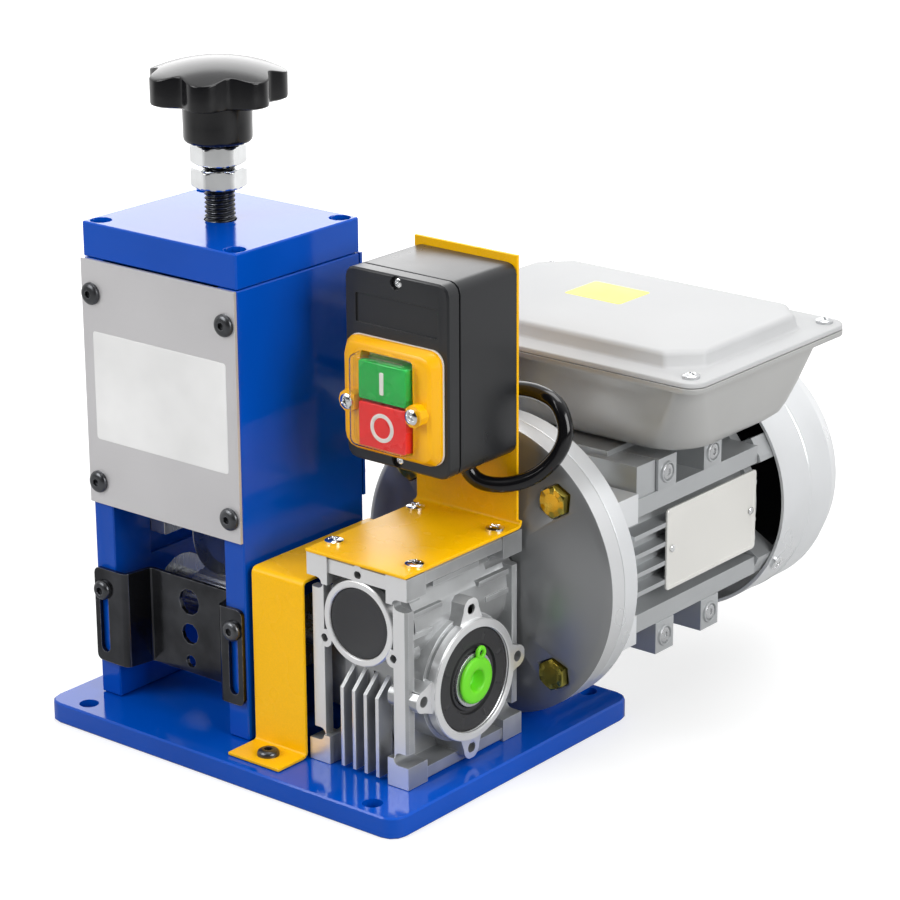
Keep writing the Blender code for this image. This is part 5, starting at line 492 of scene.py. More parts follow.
def piece(name, parts, body, material, replaces=(), sharp=35.0):
    """One object from a list of (points, quads) shells: merged, turned outward, smooth by angle."""
    points = np.concatenate([np.asarray(part[0], dtype=float) for part in parts])
    starts = np.cumsum([0] + [len(part[0]) for part in parts[:-1]])
    faces = np.concatenate([part[1] + start for part, start in zip(parts, starts)])
    mesh = bpy.data.meshes.new(name)
    mesh.from_pydata(points.tolist(), [], faces.tolist())
    bm = bmesh.new()
    bm.from_mesh(mesh)
    bmesh.ops.remove_doubles(bm, verts=bm.verts[:], dist=1e-6)
    bmesh.ops.dissolve_degenerate(bm, edges=bm.edges[:], dist=1e-7)
    bmesh.ops.recalc_face_normals(bm, faces=bm.faces[:])
    bm.to_mesh(mesh)
    bm.free()
    mesh.shade_smooth()
    mesh.set_sharp_from_angle(angle=math.radians(sharp))
    mesh.materials.append(material)
    made = bpy.data.objects.new(name, mesh)
    bpy.context.collection.objects.link(made)
    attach(made, body)
    if replaces:
        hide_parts(*replaces)
    return made


def round_shell(reach, angles, along, axis, centre, closed=False):
    """A grid round an axis: point (i, j) lies at its reach, at angle j, and at its place along."""
    across, up = reach * np.cos(angles) + centre[0], reach * np.sin(angles) + centre[1]
    return to_axis(across, up, along, axis), grid_quads(*across.shape, close_rows=closed)


def turned(profile, axis, centre, steps=96, face=0.0):
    """A surface of revolution: profile point (r, s) at angle a lies at (r cos a, r sin a, s),
    with s measured from a face."""
    profile = np.array(profile) + (0.0, face)
    angles = np.linspace(0, 2 * math.pi, steps, endpoint=False)
    closed = not (profile[0, 0] == 0 and profile[-1, 0] == 0)
    return round_shell(profile[:, :1], angles, profile[:, 1:], axis, centre, closed)


def lofted(rings):
    """Rings of equal point counts joined in order, with the two ends drawn in to a point each."""
    rings = np.array(rings)
    first = np.repeat(rings[:1].mean(axis=1, keepdims=True), rings.shape[1], axis=1)
    last = np.repeat(rings[-1:].mean(axis=1, keepdims=True), rings.shape[1], axis=1)
    stack = np.concatenate([first, rings, last])
    return stack.reshape(-1, 3), grid_quads(stack.shape[0], stack.shape[1])


print("a ring of 4 by 8 points has", len(grid_quads(4, 8)), "quads")

# %% Which body, slot and finish each solid has
node_body = {node: body for body, nodes in frame["record"]["behaviour"]["bodies"].items() for node in nodes}
slot_of = {entry["node"]: entry["material_slot"] for entry in frame["record"]["subparts"]}
finish_of = {"blue_enamel": blue, "brushed_aluminium": guard_sheet, "black_oxide": black_oxide,
             "bright_steel": bright_steel, "tool_steel": tool_steel, "bright_zinc": bright_zinc,
             "yellow_zinc": yellow_zinc, "black_plastic": black_gloss, "yellow_powder_coat": yellow_coat,
             "cast_aluminium": cast_aluminium, "black_rubber": black_rubber, "bronze": bronze,
             "lime_plastic": lime, "motor_grey": motor_grey, "wound_core": wound_core,
             "fan_cover_grey": cover_grey, "pale_grey_paint": pale_grey, "charcoal_plastic": charcoal,
             "yellow_plastic": yellow_plastic, "green_plastic": green_plastic, "red_plastic": red_plastic}
print(len(node_body), "solids,", len(finish_of), "finishes")


# %% Two kinds of piece
def stand_in(node, suffix, parts, material, sharp=35.0):
    """A piece that replaces a solid: it has the solid's body, and its name with a suffix."""
    return piece(f"{node}_{suffix}", parts, node_body[node], material, (node,), sharp)


def trim(name, parts, slot, material, sharp=40.0):
    """A fastener or a skin on the base that no solid stands for."""
    return piece(name, parts, "base", material, sharp=sharp)


print("pieces are made by", stand_in.__name__, "and", trim.__name__)

# %% [markdown]
# ## Finished copies of the solids
#
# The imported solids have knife-sharp edges and flat facets. Real edges catch the light, so each
# solid gets a copy: its triangles are merged, flat areas are joined into whole faces, and
# corners of more than 35 degrees get a small bevel. A turned face is cut into more strips, and
# the new points move out to the true circle, so a flange of 28 facets becomes a smooth one.


# %% Round up the turned faces of a copied solid
def chord_edges(points, pairs, flat, centre, limit, longest):
    """Which edges are chords of a circle round an axis: both ends level and equally far out."""
    across = [axis for axis in range(3) if axis != flat]
    offset = points[:, across] - centre
    radius = np.hypot(offset[:, 0], offset[:, 1])
    start, stop = pairs[:, 0], pairs[:, 1]
    level = np.abs(points[start, flat] - points[stop, flat]) < 2e-5
    alike = np.abs(radius[start] - radius[stop]) < 3e-5
    length = np.linalg.norm(points[start] - points[stop], axis=1)
    short = (length < longest * radius[start]) & (length > 0.0004)
    return level & alike & short & (radius[start] < limit), radius


def mesh_points(mesh):
    """A mesh's points as rows of an array."""
    points = np.empty(len(mesh.vertices) * 3)
    mesh.vertices.foreach_get("co", points)
    return points.reshape(-1, 3)


def rounded_up(mesh, axis, centre, cuts, limit=1.0, longest=0.75):
    """Cut every chord of a turned face in equal parts and move the new points to its circle."""
    flat = "XYZ".index(axis)
    pairs = np.empty(len(mesh.edges) * 2, dtype=int)
    mesh.edges.foreach_get("vertices", pairs)
    chords, radius = chord_edges(mesh_points(mesh), pairs.reshape(-1, 2), flat, np.array(centre),
                                 limit, longest)
    mesh.attributes.new("radius", "FLOAT", "POINT").data.foreach_set("value", radius)
    bm = bmesh.new()
    bm.from_mesh(mesh)
    bm.edges.ensure_lookup_table()
    chosen = [bm.edges[index] for index in np.flatnonzero(chords)]
    bmesh.ops.subdivide_edges(bm, edges=chosen, cuts=cuts, use_grid_fill=True)
    bm.to_mesh(mesh)
    bm.free()
    points = mesh_points(mesh)
    wanted = np.empty(len(points))
    mesh.attributes["radius"].data.foreach_get("value", wanted)
    across = [index for index in range(3) if index != flat]
    offset = points[:, across] - np.array(centre)
    present = np.hypot(offset[:, 0], offset[:, 1])
    growth = np.where(present > 1e-6, wanted / np.maximum(present, 1e-6), 1.0)
    points[:, across] = np.array(centre) + offset * growth[:, None]
    mesh.vertices.foreach_set("co", points.ravel())
    mesh.attributes.remove(mesh.attributes["radius"])


# %% Make a finished copy of a solid
def finished(node, material, bevel=0.0004, rounds=()):
    """Copy a solid's mesh, merge it, round its turned faces, bevel its edges and smooth by angle."""
    mesh = frame["nodes"][node].data.copy()
    mesh.name = f"{node}_finished"
    bm = bmesh.new()
    bm.from_mesh(mesh)
    bmesh.ops.remove_doubles(bm, verts=bm.verts[:], dist=1e-6)
    bmesh.ops.dissolve_limit(bm, angle_limit=math.radians(0.6), verts=bm.verts[:], edges=bm.edges[:])
    bm.to_mesh(mesh)
    bm.free()
    for turned_face_facts in rounds:
        rounded_up(mesh, *turned_face_facts)
    mesh.shade_smooth()
    mesh.set_sharp_from_angle(angle=math.radians(35))
    mesh.materials.clear()
    mesh.materials.append(material)
    made = bpy.data.objects.new(mesh.name, mesh)
    bpy.context.collection.objects.link(made)
    if bevel:
        round_edges = made.modifiers.new("round edges", "BEVEL")
        round_edges.width = bevel
        round_edges.segments = 2
        round_edges.limit_method = "ANGLE"
        round_edges.angle_limit = math.radians(35)
        round_edges.harden_normals = True
    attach(made, node_body[node])
    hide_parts(node)
    return made


# %% Every solid gets its finish
for node, holder in frame["nodes"].items():
    holder.data.materials.clear()
    holder.data.materials.append(finish_of[slot_of[node]])

WORM_AXIS = ("Y", (GEAR[0], WORM_Z))
DRIVE_AXIS = ("X", (GEAR[1], DRIVE_Z))
# Bevel widths of the plain solids
BEVELS = {"base_plate": 0.0003, "left_side_plate": 0.0002, "right_side_plate": 0.0002,
          "top_plate": 0.0002, "front_guard": 0.0003, "rear_guard": 0.0003, "shaft_cover": 0.0004,
          "guide_plate": 0.0003, "switch_bracket": 0.0004, "switch_box": 0.0005,
          "switch_box_cover": 0.0003, "switch_bezel": 0.0005, "green_button": 0.0005,
          "red_button": 0.0005, "slide_block": 0.0004}
# Small holes: their axis and centre, cuts per chord, and the largest radius and chord to cut
EAR_HOLES = [("X", (GEAR[1] + 0.0325 * math.cos(turn), DRIVE_Z + 0.0325 * math.sin(turn)), 4, 0.006, 1.05)
             for turn in (math.pi / 2 * quarter for quarter in range(4))]
EAR_HOLES += [("Y", (GEAR[0] + 0.0224 * math.cos(turn), WORM_Z + 0.0224 * math.sin(turn)), 4, 0.005, 1.05)
              for turn in (math.pi / 2 + math.pi * 2 / 3 * third for third in range(3))]
# Bevel widths of the turned solids, with the axes that they are turned round and cuts per chord
ROUNDED = {"gearbox_housing": (0.0004, [(*WORM_AXIS, 3), (*DRIVE_AXIS, 3)] + EAR_HOLES),
           "output_cover": (0.0004, [(*DRIVE_AXIS, 3)]), "feed_roller": (0.0002, []),
           "input_flange": (0.0004, [(*WORM_AXIS, 4)]), "front_shield": (0.0004, [(*WORM_AXIS, 4)]),
           "motor_frame": (0.0004, [(*WORM_AXIS, 2)]), "rear_shield": (0.0004, [(*WORM_AXIS, 4)]),
           "fan_cover": (0.0003, [(*WORM_AXIS, 4)]), "cooling_fan": (0.0002, [(*WORM_AXIS, 3)]),
           "left_shaft_bearing": (0.0003, [(*DRIVE_AXIS, 4)]),
           "right_shaft_bearing": (0.0003, [(*DRIVE_AXIS, 4)]),
           "drive_shaft": (0.0, [(*DRIVE_AXIS, 4)]), "output_shaft": (0.0002, [(*DRIVE_AXIS, 4)])}
own_finish = {"guide_plate": glossy_oxide, "input_flange": flange_cast, "front_shield": cover_grey}
plain = {node: (bevel, ()) for node, bevel in BEVELS.items()}
for node, (bevel, rounds) in (plain | ROUNDED).items():
    finished(node, own_finish.get(node, finish_of[slot_of[node]]), bevel, rounds)
print(len(BEVELS) + len(ROUNDED), "solids have finished copies")

# %% [markdown]
# ## Screws, bolts and nuts
#
# Small fasteners tell the eye how big a machine is, so they are real surfaces too. A hexagon
# seen from its middle has a radius that depends on the angle alone: half the flats' distance
# divided by the cosine of the angle from the nearest flat. A chamfer is a cone that cuts it off.


# %% Hexagons and screw heads
def hexagon_radius(flats, angles):
    """Radius of a hexagon at each angle: half the flats' distance over the cosine to the next flat."""
    from_flat = (angles + math.pi / 6) % (math.pi / 3) - math.pi / 6
    return flats / 2 / np.cos(from_flat)


def hex_solid(flats, low_end, high_end, axis, centre, bore=0.0, chamfer=0.0007, turn=0.0,
              chamfer_low=False):
    """A hexagon between two levels: each ring's radius is the hexagon's or a chamfer cone's,
    the smaller."""
    angles = np.linspace(0, 2 * math.pi, 72, endpoint=False)
    hexagon = hexagon_radius(flats, angles + turn)
    steps = np.array([0.0, 0.25, 0.5, 0.75, 1.0]) * chamfer
    cone = flats / 2 * 0.985 + steps * 1.9
    chamfered = [(np.minimum(hexagon, reach), step) for reach, step in zip(cone, steps)]
    rings = [(np.full(72, bore), high_end)] + [(ring, high_end - step) for ring, step in chamfered]
    if chamfer_low:
        rings += [(ring, low_end + step) for ring, step in chamfered[::-1]]
    else:
        rings += [(hexagon, low_end)]
    rings += [(np.full(72, bore), low_end)]
    radius = np.array([ring[0] for ring in rings])
    along = np.array([ring[1] for ring in rings])[:, None]
    return round_shell(radius, angles, along, axis, centre, bore > 0)


def socket_screw(radius, height, socket, depth, base, outward, axis, centre):
    """A button-head screw: a dome over a disc, with a hexagon socket sunk in its crown."""
    angles = np.linspace(0, 2 * math.pi, 48, endpoint=False)
    hexagon = hexagon_radius(socket, angles)
    swing = np.linspace(0, math.pi / 2, 9)
    dome_radius = socket * 0.72 + (radius - socket * 0.72) * np.sin(swing)
    dome_level = height * (0.25 + 0.75 * np.cos(swing))
    rings = [(0, height - depth), (hexagon * 0.97, height - depth), (hexagon, height - 0.0001),
             (hexagon * 1.06, height), *zip(dome_radius, dome_level), (radius, 0.0), (0, 0.0)]
    reach = np.array([ring[0] + 0 * angles for ring in rings])
    level = base + outward * np.array([ring[1] for ring in rings])[:, None]
    return round_shell(reach, angles, level, axis, centre)


def cross_screw(radius, height, base, outward, axis, centre, turn=0.4):
    """A pan head with a cross recess: the dome's height less a cross-shaped pit that narrows
    downward."""
    angles = np.linspace(0, 2 * math.pi, 96, endpoint=False)[None, :]
    reach = np.linspace(0, 1, 26)[:, None]
    dome = height * (1 - 0.45 * reach ** 2.6)
    across = reach * np.abs(np.cos(angles + turn))
    up = reach * np.abs(np.sin(angles + turn))
    arm_width = np.clip((0.13 - np.minimum(across, up)) / 0.05, 0, 1)
    arm_length = np.clip((0.62 - np.maximum(across, up)) / 0.10, 0, 1)
    level = dome - height * 0.75 * (arm_width * arm_length)
    level = np.concatenate([level, np.zeros((2, level.shape[1]))])
    out = np.concatenate([reach, [[1.0], [0.0]]]) * radius
    return round_shell(out, angles, base + outward * level, axis, centre)


# %% [markdown]
# ### Screws of the tower
#
# Four button-head screws hold each sheet guard, two more clamp the wire guide in its slots, and
# four socket screws sit deep in the top plate's counterbores. All are black or gunmetal steel.

# %% Tower screws
GUARD_HOLE_INSET_X = 0.006
GUARD_HOLE_OVER_FOOT = 0.0105
GUARD_HOLE_UNDER_TOP = 0.0155
for guard, outward in (("front_guard", -1), ("rear_guard", 1)):
    box_low, box_high = low(guard), high(guard)
    face = box_low[1] if outward < 0 else box_high[1]
    heads = [socket_screw(0.0051, 0.0026, 0.0031, 0.0016, face, outward, "Y", (x, z))
             for x in (box_low[0] + GUARD_HOLE_INSET_X, box_high[0] - GUARD_HOLE_INSET_X)
             for z in (box_low[2] + GUARD_HOLE_OVER_FOOT, box_high[2] - GUARD_HOLE_UNDER_TOP)]
    trim(f"{guard}_screws", heads, "black_oxide", gunmetal)

TOP_SCREW_INSET = 0.006
TOP_SCREW_SUNK = 0.0078
top_low, top_high = low("top_plate"), high("top_plate")
heads = [socket_screw(0.0045, 0.0045, 0.0042, 0.0026, top_high[2] - TOP_SCREW_SUNK, 1, "Z", (x, y))
         for x in (top_low[0] + TOP_SCREW_INSET, top_high[0] - TOP_SCREW_INSET)
         for y in (top_low[1] + TOP_SCREW_INSET, top_high[1] - TOP_SCREW_INSET)]
trim("top_plate_screws", heads, "black_oxide", black_oxide)

GUIDE_HEAD_HEIGHT = 0.0028
for node in ("left_guide_screw", "right_guide_screw"):
    start, stop, centre = low(node)[1], high(node)[1], centre_across(node, "Y")
    head = socket_screw(0.00475, GUIDE_HEAD_HEIGHT, 0.0034, 0.0016, start + GUIDE_HEAD_HEIGHT, -1,
                        "Y", centre)
    shank = turned([(0, start + 0.0026), (0.0024, start + 0.0026), (0.0024, stop), (0, stop)],
                   "Y", centre, 32)
    stand_in(node, "finished", [head, shank], gunmetal, 40)
print("tower screws are in place")

# %% [markdown]
# ### Star knob, rod and nuts
#
# The knob is a moulded handle with seven lobes over a round hub. Every level of it is one closed
# ring: a circle swollen by a cosine wave of seven periods. The share of the wave grows from none
# at the hub to all of it at the skirt, and the crown closes it with a low, soft dome.

# %% Star knob
KNOB_LOBES = 7
KNOB_TIP_RADIUS = 0.031
KNOB_VALLEY_RADIUS = 0.0253
KNOB_HUB_RADIUS = 0.0153
KNOB_TIP_ANGLE = math.radians(-8)
knob_low, knob_high = low("star_knob")[2], high("star_knob")[2]
# Each level up to the rim: its height over the hub's foot, its share of the wave and its scale
KNOB_LEVELS = np.array([
    (0.0000, 0.00, 0.90), (0.0003, 0.00, 0.95), (0.0010, 0.00, 0.985), (0.0022, 0.00, 1.0),
    (0.0080, 0.00, 1.00), (0.0150, 0.00, 1.01), (0.0168, 0.03, 1.02), (0.0176, 0.20, 1.02),
    (0.0180, 0.60, 0.99), (0.0183, 0.90, 0.985), (0.0190, 1.00, 0.99), (0.0200, 1.00, 1.0),
    (0.0240, 1.00, 1.0)])
KNOB_CROWN = 0.0066
KNOB_RIM_ROUND = 0.0005


def star_knob():
    """Ring radius at angle a: scale x (hub + share x (middle + swing x cos(7 (a - tip)) - hub)).
    Above the rim the rings shrink, and their height is that of a shallow dome at their own radius."""
    angles = np.linspace(0, 2 * math.pi, 280, endpoint=False)[None, :]
    wave = 1 - 2 * ((1 - np.cos(KNOB_LOBES * (angles - KNOB_TIP_ANGLE))) / 2) ** 1.35
    swell = (KNOB_TIP_RADIUS - KNOB_VALLEY_RADIUS) / 2
    lobed = (KNOB_TIP_RADIUS + KNOB_VALLEY_RADIUS) / 2 + swell * wave
    height, share, scale = (KNOB_LEVELS[:, column:column + 1] for column in range(3))
    radius = scale * (KNOB_HUB_RADIUS + share * (lobed - KNOB_HUB_RADIUS))
    height = knob_low + height + 0 * angles
    swing = np.linspace(0, math.pi / 2, 6)[:, None]
    rim_radius = lobed - KNOB_RIM_ROUND * (1 - np.cos(swing))
    inner = rim_radius[-1:] * np.linspace(0.96, 0.04, 16)[:, None]
    crown = np.concatenate([rim_radius, inner])
    dome = knob_high - KNOB_CROWN * (crown / KNOB_TIP_RADIUS) ** 2
    dome[:6] -= KNOB_RIM_ROUND * (1 - np.sin(swing))
    radius, height = np.concatenate([radius, crown]), np.concatenate([height, dome])
    across, up = radius * np.cos(angles) + TOWER[0], radius * np.sin(angles) + TOWER[1]
    return lofted(np.stack([across, up, height], axis=-1))


stand_in("star_knob", "moulded", [star_knob()], black_gloss)
print("knob is", round(knob_high - knob_low, 4), "m high")

# %% Threaded rod and nuts
ROD_RADIUS = 0.0069
ROD_NECK_RADIUS = 0.0048
THREAD_PITCH = 0.002
THREAD_DEPTH = 0.0010


def thread(radius, pitch, depth, low_end, high_end, axis, centre):
    """A thread: at angle a and level s the radius dips by a triangle wave of s / pitch - a / turn,
    and at both ends it fades to the core."""
    angles = np.linspace(0, 2 * math.pi, 49)[None, :-1]
    levels = np.arange(low_end, high_end, pitch / 8)[:, None]
    phase = (levels / pitch - angles / (2 * math.pi)) % 1.0
    dip = np.clip(1.25 * np.abs(2 * phase - 1) - 0.125, 0, 1)
    fade = np.clip(np.minimum(levels - low_end, high_end - levels) / pitch, 0, 1)
    reach = np.pad(radius - depth * (dip * fade + (1 - fade)), ((1, 1), (0, 0)))
    levels = np.concatenate([levels[:1], levels, levels[-1:]])
    return round_shell(reach, angles, levels, axis, centre)


rod_low, rod_high = low("threaded_rod")[2], high("threaded_rod")[2]
ROD_AXIS = (TOWER[0], TOWER[1])
neck_top = high("slide_block")[2] + 0.002
rod_parts = [thread(ROD_RADIUS, THREAD_PITCH, THREAD_DEPTH, neck_top, rod_high, "Z", ROD_AXIS),
             turned([(0, rod_low), (0.0085, rod_low), (0.009, rod_low + 0.0005),
                     (0.009, rod_low + 0.0045), (0.0085, rod_low + 0.005),
                     (ROD_NECK_RADIUS, rod_low + 0.005), (ROD_NECK_RADIUS, neck_top + 0.001),
                     (0, neck_top + 0.001)], "Z", ROD_AXIS, 64)]
stand_in("threaded_rod", "cut", rod_parts, black_oxide, 50)
NUT_FLATS = 0.022
NUT_TURN = math.radians(-13.5)
for node in ("lower_nut", "upper_nut"):
    nut = hex_solid(NUT_FLATS, low(node)[2], high(node)[2], "Z", ROD_AXIS, ROD_RADIUS + 0.0003,
                    0.0014, NUT_TURN, chamfer_low=True)
    stand_in(node, "plated", [nut], bright_zinc, 30)
print("rod runs from", round(rod_low, 4), "to", round(rod_high, 4))

# %% [markdown]
# ## Gearbox trim
#
# The gearbox is a sand-grained casting, but its round faces are turned on a lathe. Thin turned
# rings with chamfered lips lie on those faces. Between them sit a rubber end cap in front and a
# rubber shaft seal at the side, round the bright hollow shaft with its soft lime plug.

# %% Turned rings and the end cap
BOSS_FACE = GEAR[1] - 0.0385
HUB_FACE = GEAR[0] + 0.0332
boss_ring = turned([(0.0162, 0.0020), (0.0162, 0.0004), (0.0167, -0.0002), (0.0189, -0.0002),
                    (0.0194, 0.0003), (0.0194, 0.0040), (0.0190, 0.0040)], *WORM_AXIS, face=BOSS_FACE)
hub_ring = turned([(0.0236, -0.0020), (0.0236, -0.0009), (0.0247, 0.0001), (0.0271, 0.0001),
                   (0.0277, -0.0005), (0.0277, -0.0045), (0.0240, -0.0045)], *DRIVE_AXIS, face=HUB_FACE)
trim("turned_rings", [boss_ring, hub_ring], "cast_aluminium", turned_face, 35)

cap_low, cap_high = low("worm_end_cap")[1], high("worm_end_cap")[1]
cap = turned([(0, cap_low + 0.0003), (0.0128, cap_low + 0.0003), (0.0134, cap_low), (0.0157, cap_low),
              (0.0160, cap_low + 0.0003), (0.0160, cap_high), (0, cap_high)], *WORM_AXIS)
stand_in("worm_end_cap", "moulded", [cap], cap_rubber)
print("rings at", round(BOSS_FACE, 4), "and", round(HUB_FACE, 4))

# %% Shaft seal
SEAL_TICKS = 8


def shaft_seal(face):
    """Seal height at (radius, angle): a step at each radius plus short bars at eight angles."""
    angles = np.linspace(0, 2 * math.pi, 192, endpoint=False)[None, :]
    profile = np.array([(0.0126, -0.0025), (0.0126, -0.0010), (0.0132, -0.0006), (0.0142, -0.0006),
                        (0.0146, -0.0016), (0.0156, -0.0016), (0.0160, -0.0004), (0.0172, -0.0004),
                        (0.0174, -0.0004), (0.0185, -0.0004), (0.0200, -0.0004), (0.0208, -0.0004),
                        (0.0210, -0.0004), (0.0228, -0.0004), (0.0234, -0.0008), (0.0234, -0.0025)])
    reach, level = profile[:, :1], profile[:, 1:]
    from_tick = np.abs((angles / (2 * math.pi) * SEAL_TICKS) % 1.0 - 0.5)
    on_bar = np.clip((0.045 - from_tick) / 0.015, 0, 1)
    in_band = ((reach > 0.0173) & (reach < 0.0209)) * 1.0
    level = face + level + 0.0004 * on_bar * in_band
    return round_shell(reach, angles, level, *DRIVE_AXIS, closed=True)


stand_in("right_output_seal", "moulded", [shaft_seal(high("right_output_seal")[0])], black_rubber, 30)
print("seal has", SEAL_TICKS, "ribs")

# %% Soft plug
PLUG_RADIUS = 0.0107
PLUG_TAB_ANGLE = math.radians(75)
TAB_RADIUS = 0.0032
plug_low, plug_crown = low("output_plug")[0], high("output_plug")[0]
plug_face = plug_crown - 0.0018
disc_crown = [(0, -0.0060), (0.0036, -0.0060), (0.0044, -0.0054), (0.0047, -0.0008), (0.0053, -0.0001),
              (0.0062, 0), (0.0094, -0.0001), (0.0104, -0.0005), (0.0107, -0.0011)]
disc_rear = [(0.0105, plug_face), (0.0066, plug_face), (0.0063, plug_low + 0.0006),
             (0.0058, plug_low), (0, plug_low)]
plug_disc = turned([(r, plug_crown + s) for r, s in disc_crown] + disc_rear, *DRIVE_AXIS)
tab_reach = PLUG_RADIUS + TAB_RADIUS / 2
tab_centre = (GEAR[1] + tab_reach * math.cos(PLUG_TAB_ANGLE),
              DRIVE_Z + tab_reach * math.sin(PLUG_TAB_ANGLE))
eyelet = turned([(0.0013, plug_face + 0.0003), (0.0013, plug_crown - 0.0006),
                 (0.0017, plug_crown - 0.0002), (0.0027, plug_crown - 0.0002),
                 (0.0032, plug_crown - 0.0007), (0.0032, plug_face + 0.0003),
                 (0.0027, plug_face), (0.0017, plug_face)], "X", tab_centre, 40)
stand_in("output_plug", "moulded", [plug_disc, eyelet], lime, 50)
print("plug is", round(2 * PLUG_RADIUS, 4), "m across")

# %% [markdown]
# ### Flange bolts
#
# Four hexagon bolts clamp the motor's shield to the gearbox's flange. Their yellow zinc plate
# is what gives them the golden shine.

# %% Flange bolts
BOLT_FLATS = 0.013
BOLT_HEAD_HEIGHT = 0.0053
BOLT_NUT_HEIGHT = 0.0058
BOLT_NUT_GAP = 0.0101
for number in (1, 2, 3, 4):
    node = f"flange_bolt_{number}"
    start, stop, centre = low(node)[1], high(node)[1], centre_across(node, "Y")
    # The chamfer is on the high end, so the head is made upside down and mirrored
    head = hex_solid(BOLT_FLATS, -(start + BOLT_HEAD_HEIGHT), -start, "Y", centre, chamfer=0.0008)
    head = (head[0] * np.array([1, -1, 1]), head[1])
    pip = turned([(0, -0.0001), (0.0042, -0.0001), (0.0047, 0.0003), (0, 0.0003)],
                 "Y", centre, 40, start)
    shank = turned([(0, start + 0.005), (0.0038, start + 0.005), (0.0038, stop - 0.0006),
                    (0.0032, stop), (0, stop)], "Y", centre, 40)
    nut_start = high("input_flange")[1] + BOLT_NUT_GAP
    nut = hex_solid(BOLT_FLATS, nut_start, nut_start + BOLT_NUT_HEIGHT, "Y", centre, 0.0038, 0.0008)
    stand_in(node, "plated", [head, pip, shank, nut], yellow_zinc, 28)
print("bolts are", BOLT_FLATS, "m across their flats")

# %% [markdown]
# ## Terminal box
#
# The terminal box is a pressed bowl under a flat screwed rim, and its lid has a raised field
# with cut corners. Both are lofts: closed rings at rising levels, each an outline whose corners
# are arcs.


# %% Outlines with round corners
def rounded_outline(corners, radius, per_corner):
    """An anticlockwise polygon whose every corner is an arc that turns from one side to the next."""
    corners = np.array(corners, dtype=float)
    before = corners - np.roll(corners, 1, axis=0)
    after = np.roll(corners, -1, axis=0) - corners
    heading = np.arctan2(before[:, 1], before[:, 0])
    sweep = (np.arctan2(after[:, 1], after[:, 0]) - heading) % (2 * math.pi)
    along = before / np.linalg.norm(before, axis=1, keepdims=True)
    inward = np.stack([-along[:, 1], along[:, 0]], axis=-1)
    centres = corners - along * (radius * np.tan(sweep / 2))[:, None] + inward * radius
    angles = heading[:, None] - math.pi / 2 + sweep[:, None] * np.linspace(0, 1, per_corner)
    arcs = radius * np.stack([np.cos(angles), np.sin(angles)], axis=-1)
    return (centres[:, None] + arcs).reshape(-1, 2)


def rectangle(half_x, half_y, radius, per_corner=14):
    """A rectangle round the origin with round corners."""
    corners = [(half_x, half_y), (-half_x, half_y), (-half_x, -half_y), (half_x, -half_y)]
    return rounded_outline(corners, radius, per_corner)


def level_ring(centre, outline, height):
    """An outline that lies level at a height, round a centre."""
    return np.column_stack([outline + np.array(centre[:2]), np.full(len(outline), height)])


# %% Bowl of the terminal box
BOX_WALL = 0.0025
box_low, box_high = low("terminal_box"), high("terminal_box")
BOX_CENTRE = centre_across("terminal_box", "Z")
RIM_HALF = np.array([box_high[0] - box_low[0], box_high[1] - box_low[1]]) / 2
BOX_HALF = RIM_HALF - 0.0075
# Each level: its height over the floor, its inset from the walls at the rim and its corner radius
BOWL_LEVELS = ((0.0000, 0.0200, 0.018), (0.0004, 0.0150, 0.0205), (0.0014, 0.0118, 0.0218),
               (0.0040, 0.0088, 0.0210), (0.0088, 0.0068, 0.0196), (0.0180, 0.0044, 0.0160),
               (0.0290, 0.0018, 0.0125), (0.0362, 0.0002, 0.0104), (0.0370, -0.0004, 0.0102))
# The rim's levels: the inset from its edge and the drop under its top
RIM_LEVELS = ((0.0003, 0.0026), (0, 0.0022), (0, 0.0002), (0.0002, 0))


def bowl_ring(half, corner, height):
    """A rounded rectangle round the box's middle, level at a height."""
    return level_ring(BOX_CENTRE, rectangle(*half, corner), height)


bowl = [bowl_ring(BOX_HALF - inset, corner, box_low[2] + height) for height, inset, corner in BOWL_LEVELS]
bowl += [bowl_ring(RIM_HALF - inset, 0.0085 - inset, box_high[2] - drop) for inset, drop in RIM_LEVELS]
bowl += [bowl_ring(BOX_HALF - BOX_WALL, 0.0075, box_high[2])]
bowl += [bowl_ring(BOX_HALF - inset - BOX_WALL, corner - 0.002, box_low[2] + height + BOX_WALL)
         for height, inset, corner in BOWL_LEVELS[6:0:-1]]
stand_in("terminal_box", "pressed", [lofted(bowl)], pale_grey, 40)
print("bowl is", round(2 * BOX_HALF[0], 3), "m long")

# %% Lid of the terminal box
LID_CORNER_CUT = 0.013
lid_low, lid_high = low("terminal_box_lid")[2], high("terminal_box_lid")[2]


def lid_ring(inset, height, cut_off=LID_CORNER_CUT, softness=0.004):
    """A rectangle with cut corners, every corner softened by an arc, at a height."""
    x, y = RIM_HALF - inset
    quarter = [(x, y - cut_off), (x - cut_off, y)]
    corners = quarter + [(-a, b) for a, b in quarter[::-1]] + [(-a, -b) for a, b in quarter]
    corners += [(a, -b) for a, b in quarter[::-1]]
    return level_ring(BOX_CENTRE, rounded_outline(corners, softness, 7), height)


